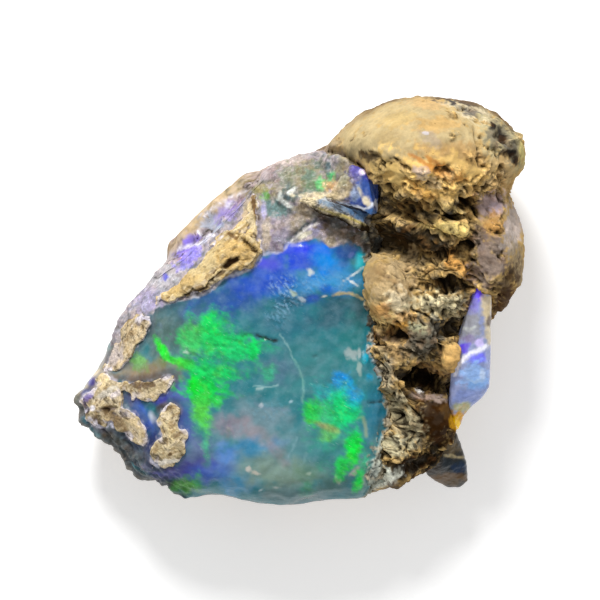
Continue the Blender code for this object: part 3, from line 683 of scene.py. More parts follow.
SKIN_PATCHES = [  # the frosted skin above the face: colour, strength, centre, half sizes, turn
    ((192, 168, 130), 1.0, (-8.8, 9.3), (6.2, 0.95), 41),
    ((182, 160, 130), 0.7, (-14.0, 4.4), (3.0, 0.8), 50),
    ((168, 156, 190), 0.9, (-15.0, 0.0), (1.8, 1.2), 45),
    ((186, 178, 180), 0.9, (-13.6, 2.6), (1.8, 1.4), 50),
    ((66, 64, 206), 0.9, (-13.5, 2.3), (0.35, 0.45), 0),
    ((136, 120, 216), 0.95, (-11.2, 4.6), (0.9, 1.4), -35),
    ((132, 112, 214), 0.9, (-10.5, 6.1), (0.9, 0.5), 15),
    ((158, 166, 184), 0.9, (-8.8, 7.8), (1.2, 1.0), 20),
    ((150, 134, 200), 0.9, (-7.0, 9.1), (1.3, 0.8), 35),
    ((128, 110, 140), 0.8, (-5.8, 10.0), (0.8, 0.4), 30),
    ((232, 226, 244), 0.8, (-7.1, 9.5), (0.5, 0.3), 30),
    ((84, 58, 34), 0.95, (-4.4, 9.6), (0.3, 1.4), 8),
    ((206, 178, 130), 0.8, (-5.2, 9.2), (0.5, 1.2), -10),
    ((130, 119, 90), 1.0, (-0.2, 12.0), (5.4, 2.4), 5),
    ((192, 172, 162), 0.9, (-1.6, 13.7), (3.6, 0.6), 16),
    ((120, 132, 100), 0.8, (0.4, 12.8), (2.4, 0.7), 5),
    ((166, 146, 150), 0.8, (-2.8, 12.6), (1.4, 0.6), 25),
    ((130, 106, 104), 0.8, (-2.0, 12.4), (0.9, 1.2), 20),
    ((112, 112, 74), 0.85, (-1.2, 12.2), (0.8, 1.4), 10),
    ((136, 122, 84), 0.9, (1.0, 12.4), (1.4, 1.6), 0),
    ((92, 116, 82), 0.85, (1.0, 11.6), (0.8, 1.2), 0),
    ((84, 96, 80), 0.8, (2.2, 13.6), (0.9, 0.5), 0),
    ((100, 166, 58), 0.9, (-3.4, 10.5), (0.4, 0.5), 0),
    ((150, 136, 70), 0.8, (-3.6, 11.1), (0.8, 0.4), 0),
    ((92, 122, 118), 0.95, (-2.2, 8.9), (1.3, 0.9), -10),
    ((60, 76, 74), 0.8, (-0.8, 10.4), (0.9, 0.9), -20),
    ((222, 224, 214), 0.95, (-1.4, 9.6), (0.8, 0.22), -35),
    ((212, 214, 204), 0.95, (-0.9, 10.8), (0.6, 0.2), 40),
    ((222, 224, 214), 0.9, (-2.0, 10.4), (0.2, 0.6), 10),
    ((40, 54, 54), 0.9, (-1.3, 10.2), (0.5, 0.22), -30),
    ((186, 176, 226), 0.8, (-3.6, 8.8), (0.25, 0.8), 0),
    ((150, 132, 150), 1.0, (-2.2, 6.4), (1.7, 1.5), 20),
    ((184, 164, 132), 0.8, (-3.4, 6.6), (0.4, 1.4), 0),
    ((176, 158, 150), 0.7, (-1.0, 7.8), (1.6, 0.5), 20),
    ((108, 92, 108), 0.7, (-2.0, 5.4), (0.9, 0.35), 15),
    ((112, 100, 92), 0.7, (-0.4, 7.0), (0.8, 0.3), 30),
    ((84, 182, 98), 0.9, (2.1, 11.6), (0.45, 0.7), 0),
    ((66, 176, 100), 0.9, (3.1, 12.3), (0.45, 0.6), 0),
    ((64, 84, 90), 0.9, (2.8, 13.2), (0.55, 0.6), 0),
    ((206, 164, 110), 0.9, (3.5, 11.2), (0.9, 0.6), -10),
    ((226, 210, 170), 0.95, (2.4, 10.3), (2.4, 0.35), 0),
    ((158, 140, 112), 0.9, (0.4, 8.4), (1.2, 1.6), -20),
    ((146, 130, 96), 0.9, (4.4, 13.2), (0.8, 1.6), 0),
    ((186, 164, 118), 0.8, (4.6, 14.6), (1.8, 0.5), -14),
    ((52, 40, 28), 0.8, (6.0, 14.3), (0.7, 0.35), -20),
    ((160, 150, 186), 0.9, (1.6, 7.1), (1.0, 0.8), 0),
    ((220, 210, 182), 0.9, (0.4, 6.5), (0.8, 0.3), 20),
    ((192, 176, 150), 0.95, (3.1, 5.9), (0.7, 0.55), 0),
    ((140, 122, 116), 0.9, (4.0, 7.0), (1.2, 0.5), -20),
    # painted shadow under the ledge, from its lower edge to the rock
    ((118, 98, 74), 0.9, (4.4, 6.4), (2.8, 0.9), -18),
    ((86, 60, 30), 0.9, (6.0, 6.3), (1.6, 0.8), -25),
    ((66, 43, 16), 0.95, (4.6, 7.2), (3.0, 0.5), -25),
    ((44, 34, 24), 0.95, (7.4, 5.8), (1.1, 1.3), 0),
]
CRUMB_COLOUR = (164, 150, 122)
CRUMB_SHADE = (52, 42, 30)
CRUMBLED_PATCHES = [  # crumbs at the right side of the face: colour, strength, centre, half sizes, turn
    # painted shade beside the rock at the ledge's right end
    ((44, 34, 24), 0.95, (7.4, 5.4), (1.4, 1.4), 0),
    ((198, 176, 134), 0.8, (7.0, 1.0), (0.8, 3.0), 0),
    ((60, 44, 28), 0.9, (7.0, -2.4), (0.8, 1.0), 0),
    ((176, 172, 166), 0.8, (7.8, -5.8), (0.8, 1.6), 20),
    ((84, 96, 112), 0.8, (7.8, -8.2), (0.5, 0.8), 10),
    ((176, 182, 168), 0.8, (7.6, -16.4), (0.8, 2.0), -20),
    ((150, 156, 140), 0.8, (7.2, -18.6), (1.0, 0.8), 0),
]
SKIN_LINES = [  # colour, strength, half width, route
    ((236, 232, 244), 0.9, 0.14, [(-12.2, 5.1), (-11.0, 5.4), (-9.8, 5.7), (-9.2, 6.2)]),
    ((236, 232, 244), 0.9, 0.14, [(-10.2, 6.9), (-9.6, 6.3), (-8.6, 6.5)]),
    ((226, 220, 226), 0.8, 0.12, [(-9.6, 8.4), (-8.4, 9.4), (-7.0, 10.3), (-5.4, 10.9)]),
    ((222, 214, 206), 0.8, 0.12, [(-0.9, 5.9), (-0.1, 6.6), (1.0, 7.3), (1.9, 7.6)]),
    ((36, 26, 22), 1.0, 0.17, [(-1.2, 6.0), (-0.4, 6.7), (0.8, 7.6), (1.6, 7.9), (3.0, 7.8)]),  # a groove
]


def opal_material():
    material, shader, surface = new_material("opal")
    tint = shader.attribute("tint", "Color")
    flash = shader.attribute("flash", "Color")
    share = shader.attribute("flash_share")
    frost = shader.attribute("frost")
    hackle = shader.attribute("hackle")
    fibre = shader.noise(0.3, 4.0, 0.65, stretch=(1.6, 1.0, 1.0), turn=-30)
    broken = shader.math("ADD", share, shader.math("MULTIPLY_ADD", fibre, 0.34, -0.17))
    lit = shader.math("MULTIPLY", shader.remap(broken, 0.0, 0.9), shader.remap(share, 0.0, 0.25))
    cloud = shader.remap(shader.noise(1.1, 4.0), 0.35, 0.75, 0.0, 0.14)
    body = shader.mix(cloud, tint, (0.42, 0.62, 0.72, 1))
    deep = shader.remap(shader.noise(1.9, 3.0), 0.4, 0.75, 0.0, 0.16)
    body = shader.mix(deep, body, (0.02, 0.12, 0.14, 1))
    streak = shader.noise(0.5, 4.0, 0.6, stretch=(1.5, 1.0, 1.0), turn=-32)
    glint = shader.remap(streak, 0.3, 0.7, 0.72, 1.2)
    yellow = shader.remap(shader.noise(0.9, 3.0, stretch=(1.6, 1.0, 1.0), turn=-30), 0.5, 0.72, 0.0, 0.25)
    shown = shader.mix(yellow, flash, (0.18, 0.62, 0.05, 1))
    colour = shader.mix(lit, body, shader.mix(1.0, shown, glint, "MULTIPLY"))
    # pale scratches, partly painted glints, where the face is streaked
    scratch = shader.noise(0.13, 2.0, stretch=(5.0, 1.0, 1.0), turn=-32)
    scratch = shader.remap(scratch, 0.64, 0.76, 0.0, 0.28)
    colour = shader.mix(shader.math("MULTIPLY", scratch, hackle), colour, (0.62, 0.86, 0.84, 1))
    speck, height = shader.grain(0.3, shader.math("MULTIPLY", frost, 0.22))
    colour = shader.mix(1.0, colour, speck, "MULTIPLY")
    # painted glints on the frosted skin
    spark = shader.remap(shader.noise(0.17, 2.0), 0.62, 0.72, 0.0, 0.8)
    pale = shader.mix(1.0, colour, (1.9, 1.9, 2.1, 1), "MULTIPLY")
    colour = shader.mix(shader.math("MULTIPLY", spark, frost), colour, pale)
    shader.join(colour, surface, "Base Color")
    shader.join(shader.math("MULTIPLY_ADD", frost, 0.38, 0.23), surface, "Roughness")
    shader.join(0.3, surface, "Specular IOR Level")
    depth = shader.math("MULTIPLY", height, shader.math("MULTIPLY_ADD", frost, 0.7, 0.3))
    shader.join(shader.bump(depth, 0.07), surface, "Normal")
    return material


def opal_face_share(points):
    """1 on the opal's broken face, 0 on the frosted skin above it."""
    edge_x, edge_y = zip(*FACE_EDGE)
    above = points[:, 1] - np.interp(points[:, 0], edge_x, edge_y)
    return ease(0.2, -0.2, above + 0.2 * swells(points, 0.8, 2, seed=4))


def flash_colours(points, ragged):
    """The colour of the play of colour at each vertex, and how strong it is there."""
    fibres = swells(points, (0.7, 0.35, 4.0), 4, -30, seed=9)
    colours = coat(points, FACE_COLOUR) * NO_FLASH
    total = np.full(len(points), NO_FLASH)
    most = np.zeros(len(points))
    for colour, strength, place, halves, degrees in FLASHES:
        share = strength * patch_share(points, ragged + 0.16 * fibres, place, halves, degrees, 0.9)
        colours += share[:, None] ** 2 * linear(colour)
        total += share**2
        most = 1 - (1 - most) * (1 - share)
    return colours / total[:, None], most


def crumbled_share(points):
    """1 where rock crumbs cover the right side of the face, 0 elsewhere."""
    edge_y, edge_x = zip(*RIGHT_EDGE)
    past = points[:, 0] - np.interp(points[:, 1], edge_y, edge_x)
    return ease(-0.15, 0.15, past + 0.35 * swells(points, 0.9, 3, seed=17))


def skin_colours(points, jagged):
    """The frosted skin's colours, which run on over the flush rim of the rock."""
    blotch = swells(points, 0.7, 3, seed=36)
    pale, dark = ease(0.15, 0.7, blotch), ease(0.15, 0.7, -blotch)
    skin = coat(points, SKIN_COLOUR)
    skin = mixed(skin, (196, 176, 168), 0.4 * pale)
    skin = mixed(skin, (92, 80, 66), 0.4 * dark)
    skin = brushed(points, jagged, skin, SKIN_PATCHES, edge=0.4)
    skin = mixed(skin, (200, 184, 176), 0.25 * pale)
    skin = mixed(skin, (84, 74, 60), 0.3 * dark)
    return ruled(points, skin, SKIN_LINES)


def climb_to_knob(points, facing):
    """How far the skin is raised, so that it runs up to the knob's foot with no valley before it."""
    x, shelf, foot = zip(*KNOB_FOOT)
    climb = np.clip((points[:, 1] - CLIMB_START) / CLIMB_RUN, 0, 1.1)
    shelf = np.interp(points[:, 0], x, shelf)
    target = shelf + climb * (np.interp(points[:, 0], x, foot) - shelf)
    share = ease(0.0, 0.3, facing[:, 2]) * ease(CLIMB_START - 0.4, CLIMB_START + 0.6, points[:, 1])
    share *= ease(1.4, 3.0, points[:, 0]) * ease(6.8, 5.6, points[:, 0])
    return share * np.maximum(target - points[:, 2], 0)


def opal_blank():
    """The opal as a fine mesh: raised to the knob, thinned where it is hidden, its lower edge rounded."""
    obj = fine_copy("opal_body", "opal", OPAL_VOXEL, 14)
    points = places(obj)
    points[:, 2] += climb_to_knob(points, normals(obj))
    set_places(obj, points)
    even_out(obj, OPAL_VOXEL, 2)
    coarsen(obj, lambda points, facing: (facing[:, 2] < -0.2) & (points[:, 2] < 12), 0.3)
    refine(obj, lambda points, facing: facing[:, 2] > 0.2)
    smooth(obj, 4)
    smooth(obj, 14, line_share(places(obj), LOWER_EDGE, 3.0))
    return obj


def opal_zones(points, facing, ragged):
    """How far each vertex belongs to the broken face, its streaks, its crumbs and the lower slope."""
    hackled = np.zeros(len(points))
    for _, strength, place, halves, degrees in HACKLES:
        hackled = np.maximum(hackled, strength * patch_share(points, ragged, place, halves, degrees, 0.6))
    return SimpleNamespace(
        face=opal_face_share(points),
        hackled=hackled,
        dashes=swells(points, (0.55, 0.2, 4.0), 4, -50, seed=10),
        crumbled=crumbled_share(points) * ease(-0.2, 0.2, facing[:, 2]),
        slope=line_share(points, LOWER_EDGE[:3], 2.3, 0.45),
    )


def opal_relief(points, zones):
    """How far each vertex of the opal stands out of its smooth form."""
    face, skin = zones.face, 1 - zones.face
    away = np.hypot(points[:, 0] + 16, 1.2 * (points[:, 1] - 2)) + 0.8 * swells(points, 4.0, 2, seed=34)
    ripples = np.sin(away * 2.1) * ease(-0.2, 0.5, swells(points, 5.0, 2, seed=35))
    relief = face * (RIPPLE_HEIGHT * ripples + HACKLE_HEIGHT * zones.hackled * zones.dashes)
    relief += 0.04 * swells(points, 1.5, 3, seed=1)
    for _, _, width, route in FACE_LINES[:CRACKS]:
        relief -= CRACK_DEPTH * face * line_share(points, route, width + 0.04, 0.8)
    groove = SKIN_LINES[-1][3]
    relief -= GROOVE_DEPTH * skin * line_share(points, groove, 0.3, 0.6)
    relief += skin * (0.14 * swells(points, 1.1, 4, seed=2) + 0.06 * crests(points, 0.8, 3, seed=3))
    crumbs = 0.2 + 0.18 * swells(points, 0.9, 3, seed=12) + 0.06 * chips(points, 0.6, seed=14)
    relief += zones.crumbled * crumbs
    broken = 0.26 * swells(points, 1.3, 3, seed=37)
    broken += 0.14 * swells(points, (1.9, 0.6, 0.6), 2, -42, seed=38)
    relief += zones.slope * (broken + 0.3)
    return relief + 0.25 * zones.slope * patch_share(points, 0, *BULGE, 0.6)


def face_colours(points, ragged, jagged, zones):
    """Body colours, streaks, glints, cracks and scratches of the broken face."""
    tint = brushed(points, ragged, FACE_COLOUR, FACE_PATCHES, edge=0.6)
    # painted glints along the hackle marks
    for colour, strength, place, halves, degrees in HACKLES:
        there = patch_share(points, ragged, place, halves, degrees, 0.7)
        tint = mixed(tint, colour, 0.45 * strength * ease(0.15, 0.6, zones.dashes) * there)
    tint = brushed(points, jagged, tint, SPARKS, edge=0.5)
    return ruled(points, tint, FACE_LINES)


def with_slope(points, facing, tint, pit, slope):
    """The face's colours with painted shade on its steep flanks and the rocky lower slope, which has
    painted shade in its hollows and painted light on its crests.
    """
    flank_shade, stone, vein, slope_hollow_shade, crest_light = SLOPE_COLOURS
    # painted shade on the steep flanks
    tint = mixed(tint, flank_shade, 0.7 * ease(0.4, 0.0, facing[:, 2]) * (1 - slope))
    tint = mixed(tint, stone, 0.85 * slope * ease(0.65, 0.2, facing[:, 2]))
    veins = swells(points, (1.6, 0.5, 0.5), 3, -42, seed=39)
    tint = mixed(tint, vein, 0.7 * slope * ease(0.1, 0.5, veins) * ease(-17.5, -15.5, points[:, 0]))
    # painted shade in the slope's hollows and painted light on its crests
    tint = mixed(tint, slope_hollow_shade, 0.85 * slope * ease(0.02, 0.08, pit))
    return mixed(tint, crest_light, 0.4 * ease(0.7, 1.0, slope) * ease(0.02, 0.08, -pit))


def with_seams(points, tint, jagged):
    """The face's colours with a violet shade and a pale line along the crusts that lie on it."""
    gaps = [distance_to(points, tree_of(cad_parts[node]), 1.0)[0] for node in CRUST_NODES]
    gap = np.minimum.reduce(gaps)
    tint = mixed(tint, SEAM_VIOLET, 0.5 * ease(1.0, 0.5, gap) * ease(-11.0, -12.5, points[:, 0]))
    return mixed(tint, SEAM_WHITE, 0.7 * ease(0.36, 0.16, gap + 0.15 * jagged))


def crumb_colours(points, jagged, pit):
    """The rock crumbs at the right side of the face, with painted light on their tops and painted shade
    between them.
    """
    stone = brushed(points, jagged, CRUMB_COLOUR, CRUMBLED_PATCHES, edge=0.4)
    # painted light on the crumbs' tops; the next line paints shade between them
    stone *= (1 + 0.35 * ease(0.0, 0.06, -pit))[:, None]
    return mixed(stone, CRUMB_SHADE, 0.8 * ease(0.0, 0.07, pit))


def paint_opal(obj, facing, ragged, zones):
    points = places(obj)
    pit = hollowness(obj, 6)
    jagged = ragged + 0.35 * swells(points, (0.45, 0.45, 9.0), 2, seed=6)
    tint = face_colours(points, ragged, jagged, zones)
    tint = with_slope(points, facing, tint, pit, zones.slope)
    tint = with_seams(points, tint, jagged)
    tint = blended(skin_colours(points, jagged), tint, zones.face)
    tint = blended(tint, crumb_colours(points, jagged, pit), zones.crumbled)
    flash, share = flash_colours(points, ragged)
    keep_colour(obj, "tint", tint)
    keep_colour(obj, "flash", flash)
    keep_number(obj, "flash_share", share * (1 - 0.9 * zones.crumbled))
    rocky = np.maximum(1 - zones.face, zones.crumbled)
    keep_number(obj, "frost", np.maximum(rocky, 0.8 * zones.slope))
    streaked = np.clip(np.maximum(zones.hackled, 0.8 * share), 0, 1)
    keep_number(obj, "hackle", zones.face * (0.25 + streaked))


def make_opal(material):
    obj = opal_blank()
    points, facing = places(obj), normals(obj)
    ragged = 0.3 * swells(points, (1.4, 1.4, 9.0), 3, seed=5)
    zones = opal_zones(points, facing, ragged)
    points += opal_relief(points, zones)[:, None] * facing
    skin = 1 - zones.face
    resting = np.maximum(skin * ease(-2.0, -4.0, points[:, 0]), ease(0.0, -0.4, facing[:, 2]))
    leaned = lean_on(points, facing, tree_of(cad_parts["host_rock"]), 1.4)
    points = blended(points, leaned, resting)
    points += outline_shift(points)
    set_places(obj, points)
    smooth(obj, 10, 0.9 * skin * patch_share(points, 0, *RIM_SKIN, 0.4))
    paint_opal(obj, facing, ragged, zones)
    finish_piece(obj, material, "opal_body")
    return obj


# ---------------------------------------------------------------- the host rock

ROCK_BASE = (188, 157, 100)
SIDE_ROCK = (130, 110, 78)
SIDE_PALE = (172, 152, 118)
SIDE_BROWN = (92, 64, 38)
RUST = (176, 116, 58)
ASH = (120, 112, 100)
PIT_SHADE = (37, 28, 16)
CLOD_SHADE = (42, 31, 17)
HOLLOW_SHADE = (24, 18, 12)
ROCK_PATCHES = [  # colour, strength, centre, half sizes, turn
    ((184, 164, 121), 1.0, (11.0, 16.6), (8.6, 4.6), 4),  # smooth cap
    ((188, 168, 124), 1.0, (5.6, 15.4), (2.6, 1.6), 25),  # its slope to the left
    ((182, 152, 92), 0.6, (7.6, 13.6), (2.4, 0.8), -10),
    ((204, 160, 102), 0.45, (12.8, 19.6), (1.8, 0.7), -5),
    ((196, 154, 88), 0.6, (13.5, 17.4), (2.4, 0.8), 5),
    ((190, 162, 104), 0.6, (9.6, 18.0), (1.8, 0.7), 15),
    ((172, 146, 96), 0.5, (8.6, 16.0), (1.2, 0.7), 0),
    ((190, 148, 90), 0.6, (14.5, 14.6), (3.4, 1.2), -8),
    ((176, 140, 88), 0.5, (17.2, 13.6), (1.6, 1.2), -20),
    ((170, 156, 134), 0.7, (12.9, 15.8), (1.3, 0.6), -30),  # dent
    ((206, 200, 204), 0.8, (12.4, 16.5), (0.25, 0.14), -20),
    ((214, 200, 168), 0.9, (17.0, 19.0), (3.4, 0.9), -28),  # shell strip
    ((46, 46, 50), 0.95, (16.0, 20.1), (3.4, 0.7), -10),
    ((84, 80, 78), 0.85, (17.0, 18.7), (1.3, 0.4), -20),
    ((172, 160, 122), 1.0, (20.4, 15.6), (2.0, 3.2), 25),  # speckled lobe
    ((104, 98, 84), 0.8, (19.9, 16.1), (1.2, 1.6), 20),
    ((30, 27, 25), 1.0, (20.0, 16.0), (0.4, 1.0), 20),
    ((30, 27, 25), 1.0, (19.2, 17.2), (0.3, 0.4), 0),
    ((96, 90, 78), 0.8, (20.8, 14.4), (1.1, 1.0), 0),
    ((34, 30, 28), 1.0, (20.8, 14.5), (0.7, 0.4), 10),
    ((40, 34, 30), 1.0, (21.4, 13.8), (0.4, 0.5), 0),
    ((204, 190, 120), 0.8, (22.1, 14.8), (0.4, 1.2), 0),
    ((190, 160, 110), 0.9, (19.6, 12.0), (1.6, 1.8), 0),
    ((226, 188, 114), 0.95, (12.6, 12.2), (4.8, 2.2), -6),  # lit crumbs of the brow
    ((184, 116, 52), 0.75, (11.7, 13.9), (1.5, 0.28), -34),
    ((184, 116, 52), 0.7, (13.2, 13.7), (1.5, 0.22), -30),
    ((196, 134, 62), 0.7, (14.3, 12.6), (1.8, 0.7), -20),
    ((206, 182, 168), 0.8, (11.9, 12.6), (0.8, 0.6), -20),
    ((202, 180, 140), 0.8, (13.0, 11.6), (1.2, 0.6), -25),
    ((200, 150, 76), 0.7, (12.0, 10.6), (1.5, 0.6), -20),
    ((196, 166, 104), 0.8, (9.0, 12.6), (1.3, 1.2), -30),
    ((178, 150, 92), 0.7, (8.6, 10.6), (1.0, 1.0), 0),
    ((46, 34, 24), 0.9, (7.0, 14.2), (1.1, 0.5), -20),
    ((72, 58, 33), 0.9, (10.6, 9.2), (2.8, 1.0), -14),  # painted shade of the first cove
    ((92, 74, 42), 0.7, (13.0, 8.6), (1.2, 0.8), 0),
    ((40, 31, 17), 0.95, (10.2, 5.9), (3.4, 1.5), -22),  # painted shadow of the dark wedge below it
    ((196, 170, 112), 0.9, (15.4, 8.8), (1.8, 0.5), -25),  # lit crests between the coves
    ((226, 200, 124), 0.9, (15.0, 7.0), (2.3, 0.7), -8),
    ((206, 176, 124), 0.9, (10.8, 7.1), (2.8, 0.3), -36),
    ((34, 25, 14), 0.9, (13.2, 5.4), (4.4, 1.0), -24),  # painted shade of the second cove
    ((160, 130, 80), 0.6, (13.6, 4.0), (2.2, 0.35), -32),
    ((204, 152, 82), 0.85, (15.6, 3.4), (1.8, 0.9), -38),
    ((164, 136, 88), 0.8, (13.4, 2.9), (2.4, 0.4), -8),
    ((20, 14, 10), 0.9, (14.8, 1.6), (1.8, 0.7), -12),  # painted shade of the third cove
    ((184, 164, 166), 0.9, (18.8, 9.4), (1.4, 1.4), -30),  # lilac flank
    ((190, 176, 190), 0.7, (19.4, 9.0), (0.6, 0.5), 0),
    ((192, 146, 84), 0.9, (19.3, 7.4), (1.1, 1.1), 0),
    ((92, 78, 80), 0.8, (17.6, 6.2), (0.8, 1.2), 0),
    ((140, 124, 116), 0.9, (18.8, 3.8), (1.7, 2.6), -15),
    ((186, 174, 168), 0.9, (21.4, 7.4), (0.9, 3.0), -8),
    ((166, 148, 118), 0.8, (21.8, 3.0), (0.8, 2.4), 15),
    ((66, 48, 36), 0.8, (20.6, 1.6), (0.8, 2.2), -25),
    ((86, 62, 44), 0.9, (20.4, -0.6), (1.0, 2.0), -25),
    ((194, 168, 124), 1.0, (9.2, 1.0), (2.8, 3.2), 0),  # boulder
    ((214, 192, 154), 0.7, (9.8, 0.0), (1.0, 1.2), 0),
    ((150, 122, 84), 0.7, (8.8, 2.2), (1.4, 0.35), -30),
    ((150, 122, 80), 0.6, (7.6, 2.6), (0.9, 1.0), 0),
    # painted light on the boulder's lower side, brighter than its tone to offset the shade there
    ((254, 222, 152), 0.95, (8.6, -1.4), (1.9, 1.3), 0),
    ((254, 236, 196), 0.8, (9.8, -0.5), (1.2, 1.3), 0),
    ((206, 142, 72), 0.7, (8.2, -1.2), (1.2, 0.8), -20),
    ((222, 178, 118), 0.8, (10.6, -1.8), (1.6, 0.7), 10),
    ((220, 164, 72), 0.8, (10.2, -2.5), (1.4, 0.3), 10),
    ((126, 84, 40), 0.6, (7.2, -2.8), (0.7, 0.3), -20),
    ((214, 202, 162), 0.95, (13.8, -0.6), (2.6, 1.4), -8),  # pale crumbs
    ((100, 99, 90), 0.95, (12.8, -3.8), (1.8, 2.2), 0),  # grey lump of strands
    ((44, 42, 38), 0.8, (13.4, -4.9), (1.2, 0.5), -36),
    ((172, 172, 138), 0.8, (11.6, -2.9), (0.8, 0.7), 0),
    ((226, 182, 112), 1.0, (15.0, -5.6), (0.8, 1.7), 0),  # orange lump
    ((26, 18, 12), 0.9, (15.0, -2.8), (0.9, 0.8), 40),
    ((196, 170, 132), 1.0, (-11.0, 10.6), (10.4, 3.4), 42),  # rim along the upper left
    ((176, 158, 150), 0.7, (-14.6, 5.4), (2.4, 1.4), 50),
    ((206, 176, 128), 0.7, (-8.6, 11.6), (3.4, 0.7), 42),
    ((146, 134, 104), 1.0, (3.6, 13.4), (1.5, 1.6), -20),  # mossy foot of the knob
    ((104, 116, 84), 0.8, (3.2, 14.0), (0.7, 0.5), 10),
    ((172, 156, 150), 0.7, (4.0, 14.4), (0.5, 0.4), 10),
    ((76, 170, 104), 0.9, (3.2, 12.8), (0.35, 0.5), 0),
    ((206, 176, 132), 0.8, (4.0, 12.8), (0.5, 0.6), 0),
    # painted shadow along the boulder's lower edge
    ((44, 31, 18), 0.8, (8.4, -3.8), (1.4, 0.4), -20),
    ((150, 130, 92), 0.8, (8.6, -5.2), (2.0, 0.9), -35),
    ((172, 162, 138), 0.8, (8.6, -7.2), (1.0, 1.8), 15),
    ((156, 120, 74), 0.8, (13.2, -6.9), (1.8, 0.5), -20),
    ((92, 62, 36), 0.85, (9.2, -3.4), (2.2, 0.8), -8),  # painted shadow under the boulder
    ((206, 170, 116), 0.8, (9.4, -4.8), (1.6, 0.5), -15),
    ((108, 102, 88), 0.8, (11.8, -4.9), (1.4, 1.2), 0),
    ((8, 5, 3), 1.0, (12.6, -8.0), (2.7, 0.75), -17),  # painted shade in the slot
    ((76, 58, 34), 1.0, (13.4, -11.8), (3.9, 3.4), 0),  # block
    ((50, 28, 5), 1.0, (14.1, -12.0), (2.6, 2.8), 0),
    ((206, 150, 16), 0.9, (15.4, -12.2), (0.4, 0.8), 0),
    ((92, 66, 34), 0.8, (14.6, -11.0), (0.5, 1.0), -30),
    ((166, 146, 134), 0.9, (13.2, -9.7), (2.2, 0.35), -6),
    ((250, 246, 240), 1.0, (11.9, -9.0), (0.4, 0.2), -20),
    ((176, 164, 130), 0.9, (10.2, -12.0), (1.6, 3.0), 25),
    ((192, 186, 154), 0.8, (9.6, -14.6), (1.8, 1.2), 0),
    # painted shade along the block's lower edge
    ((40, 29, 17), 1.0, (11.4, -16.6), (3.6, 1.2), 14),
    ((26, 18, 10), 0.9, (13.0, -15.8), (1.8, 0.8), 20),
    ((52, 46, 44), 1.0, (-16.4, -17.4), (5.2, 1.6), -40),  # beside the opal's rocky slope
    ((246, 248, 232), 0.95, (7.8, -18.2), (2.2, 0.9), 15),  # pale foot
    ((232, 236, 218), 0.9, (7.2, -17.4), (1.3, 1.3), 0),
    ((66, 50, 34), 0.9, (11.6, -18.6), (4.0, 0.8), 14),
    ((22, 14, 8), 1.0, (16.5, 9.7), (1.1, 0.55), 15),  # painted shade in the deep pits beside the skirt
    ((24, 16, 8), 1.0, (15.0, 8.4), (0.9, 0.4), -10),
]
SMOOTH_ROCK = [  # where the rock isn't crumbly: share, centre, half sizes, turn
    (1.0, (10.6, 17.0), (9.4, 4.8), 0),
    (0.9, (5.2, 14.8), (3.4, 1.8), 20),
    (0.6, (9.2, 0.8), (2.5, 3.0), 0),
    (0.85, (6.9, 1.6), (1.2, 3.6), 0),
    (0.6, (8.8, -1.2), (1.8, 1.2), 0),
    (0.6, (7.8, 4.2), (1.6, 1.2), 0),
    (1.0, (14.2, -11.8), (2.1, 2.6), 0),
    (0.85, (21.6, 6.8), (1.6, 4.4), 0),
    (0.7, (21.0, 1.6), (1.8, 3.6), -25),
    (0.8, (9.6, 5.8), (3.0, 1.3), -20),
    (0.7, (15.0, -5.6), (0.9, 1.9), 0),
    (0.4, (10.0, -18.0), (5.4, 1.2), 14),
    (0.8, (22.0, 13.0), (1.4, 3.4), 0),
    (0.7, (19.0, 18.4), (3.4, 1.2), -38),
    (0.9, (14.8, 20.2), (3.6, 1.2), -8),
    (0.7, (18.6, 8.6), (1.2, 1.6), 0),
    (0.7, (18.8, 4.4), (1.5, 2.6), -10),
    (1.0, (-11.0, 10.6), (10.0, 3.4), 42),
]
ROCK_SWELLS = [  # height, centre, half sizes, turn
    (-1.2, (20.6, -0.8), (2.0, 1.4), 50),
    (0.8, (15.2, 9.2), (1.2, 0.7), -35),
    (0.8, (14.2, 7.8), (1.0, 0.7), -40),
    (0.8, (16.0, 7.4), (0.9, 0.7), -30),
    (0.6, (12.8, 9.0), (0.9, 0.6), -30),
    (1.1, (10.9, 7.0), (3.2, 0.45), -36),
    (0.5, (13.4, 6.3), (1.4, 0.4), -40),
    (-0.7, (12.2, 7.0), (1.6, 1.2), -30),
    (0.5, (7.6, 1.0), (1.2, 3.4), 0),
    (0.4, (12.8, 12.4), (3.6, 0.5), -28),
    (0.5, (15.0, -5.6), (0.8, 1.6), 0),
]
RIM_DROP = 0.5  # how far the flush rock stays below the opal beside it, and how much more for each mm away
RIM_FALL = 0.3
RIM_LAP = 0.06  # how far the rim's edge lies over the opal
FLUSH_RIM = ((-11.0, 10.6), (12.8, 5.9), 42)  # centre, half sizes and turn of the rim level with the opal
KNOB_FOOT_ROCK = ((3.2, 13.2), (2.8, 2.5), -20)  # the rock below the skin that climbs to the knob
KNOB_CREASE = ((4.6, 14.8), (5.0, 3.4), -20)
BROWS = [((12.8, 12.2), (5.0, 2.4), -6), ((18.4, 13.8), (2.2, 3.6), 0)]  # lit crumbs that stay bright
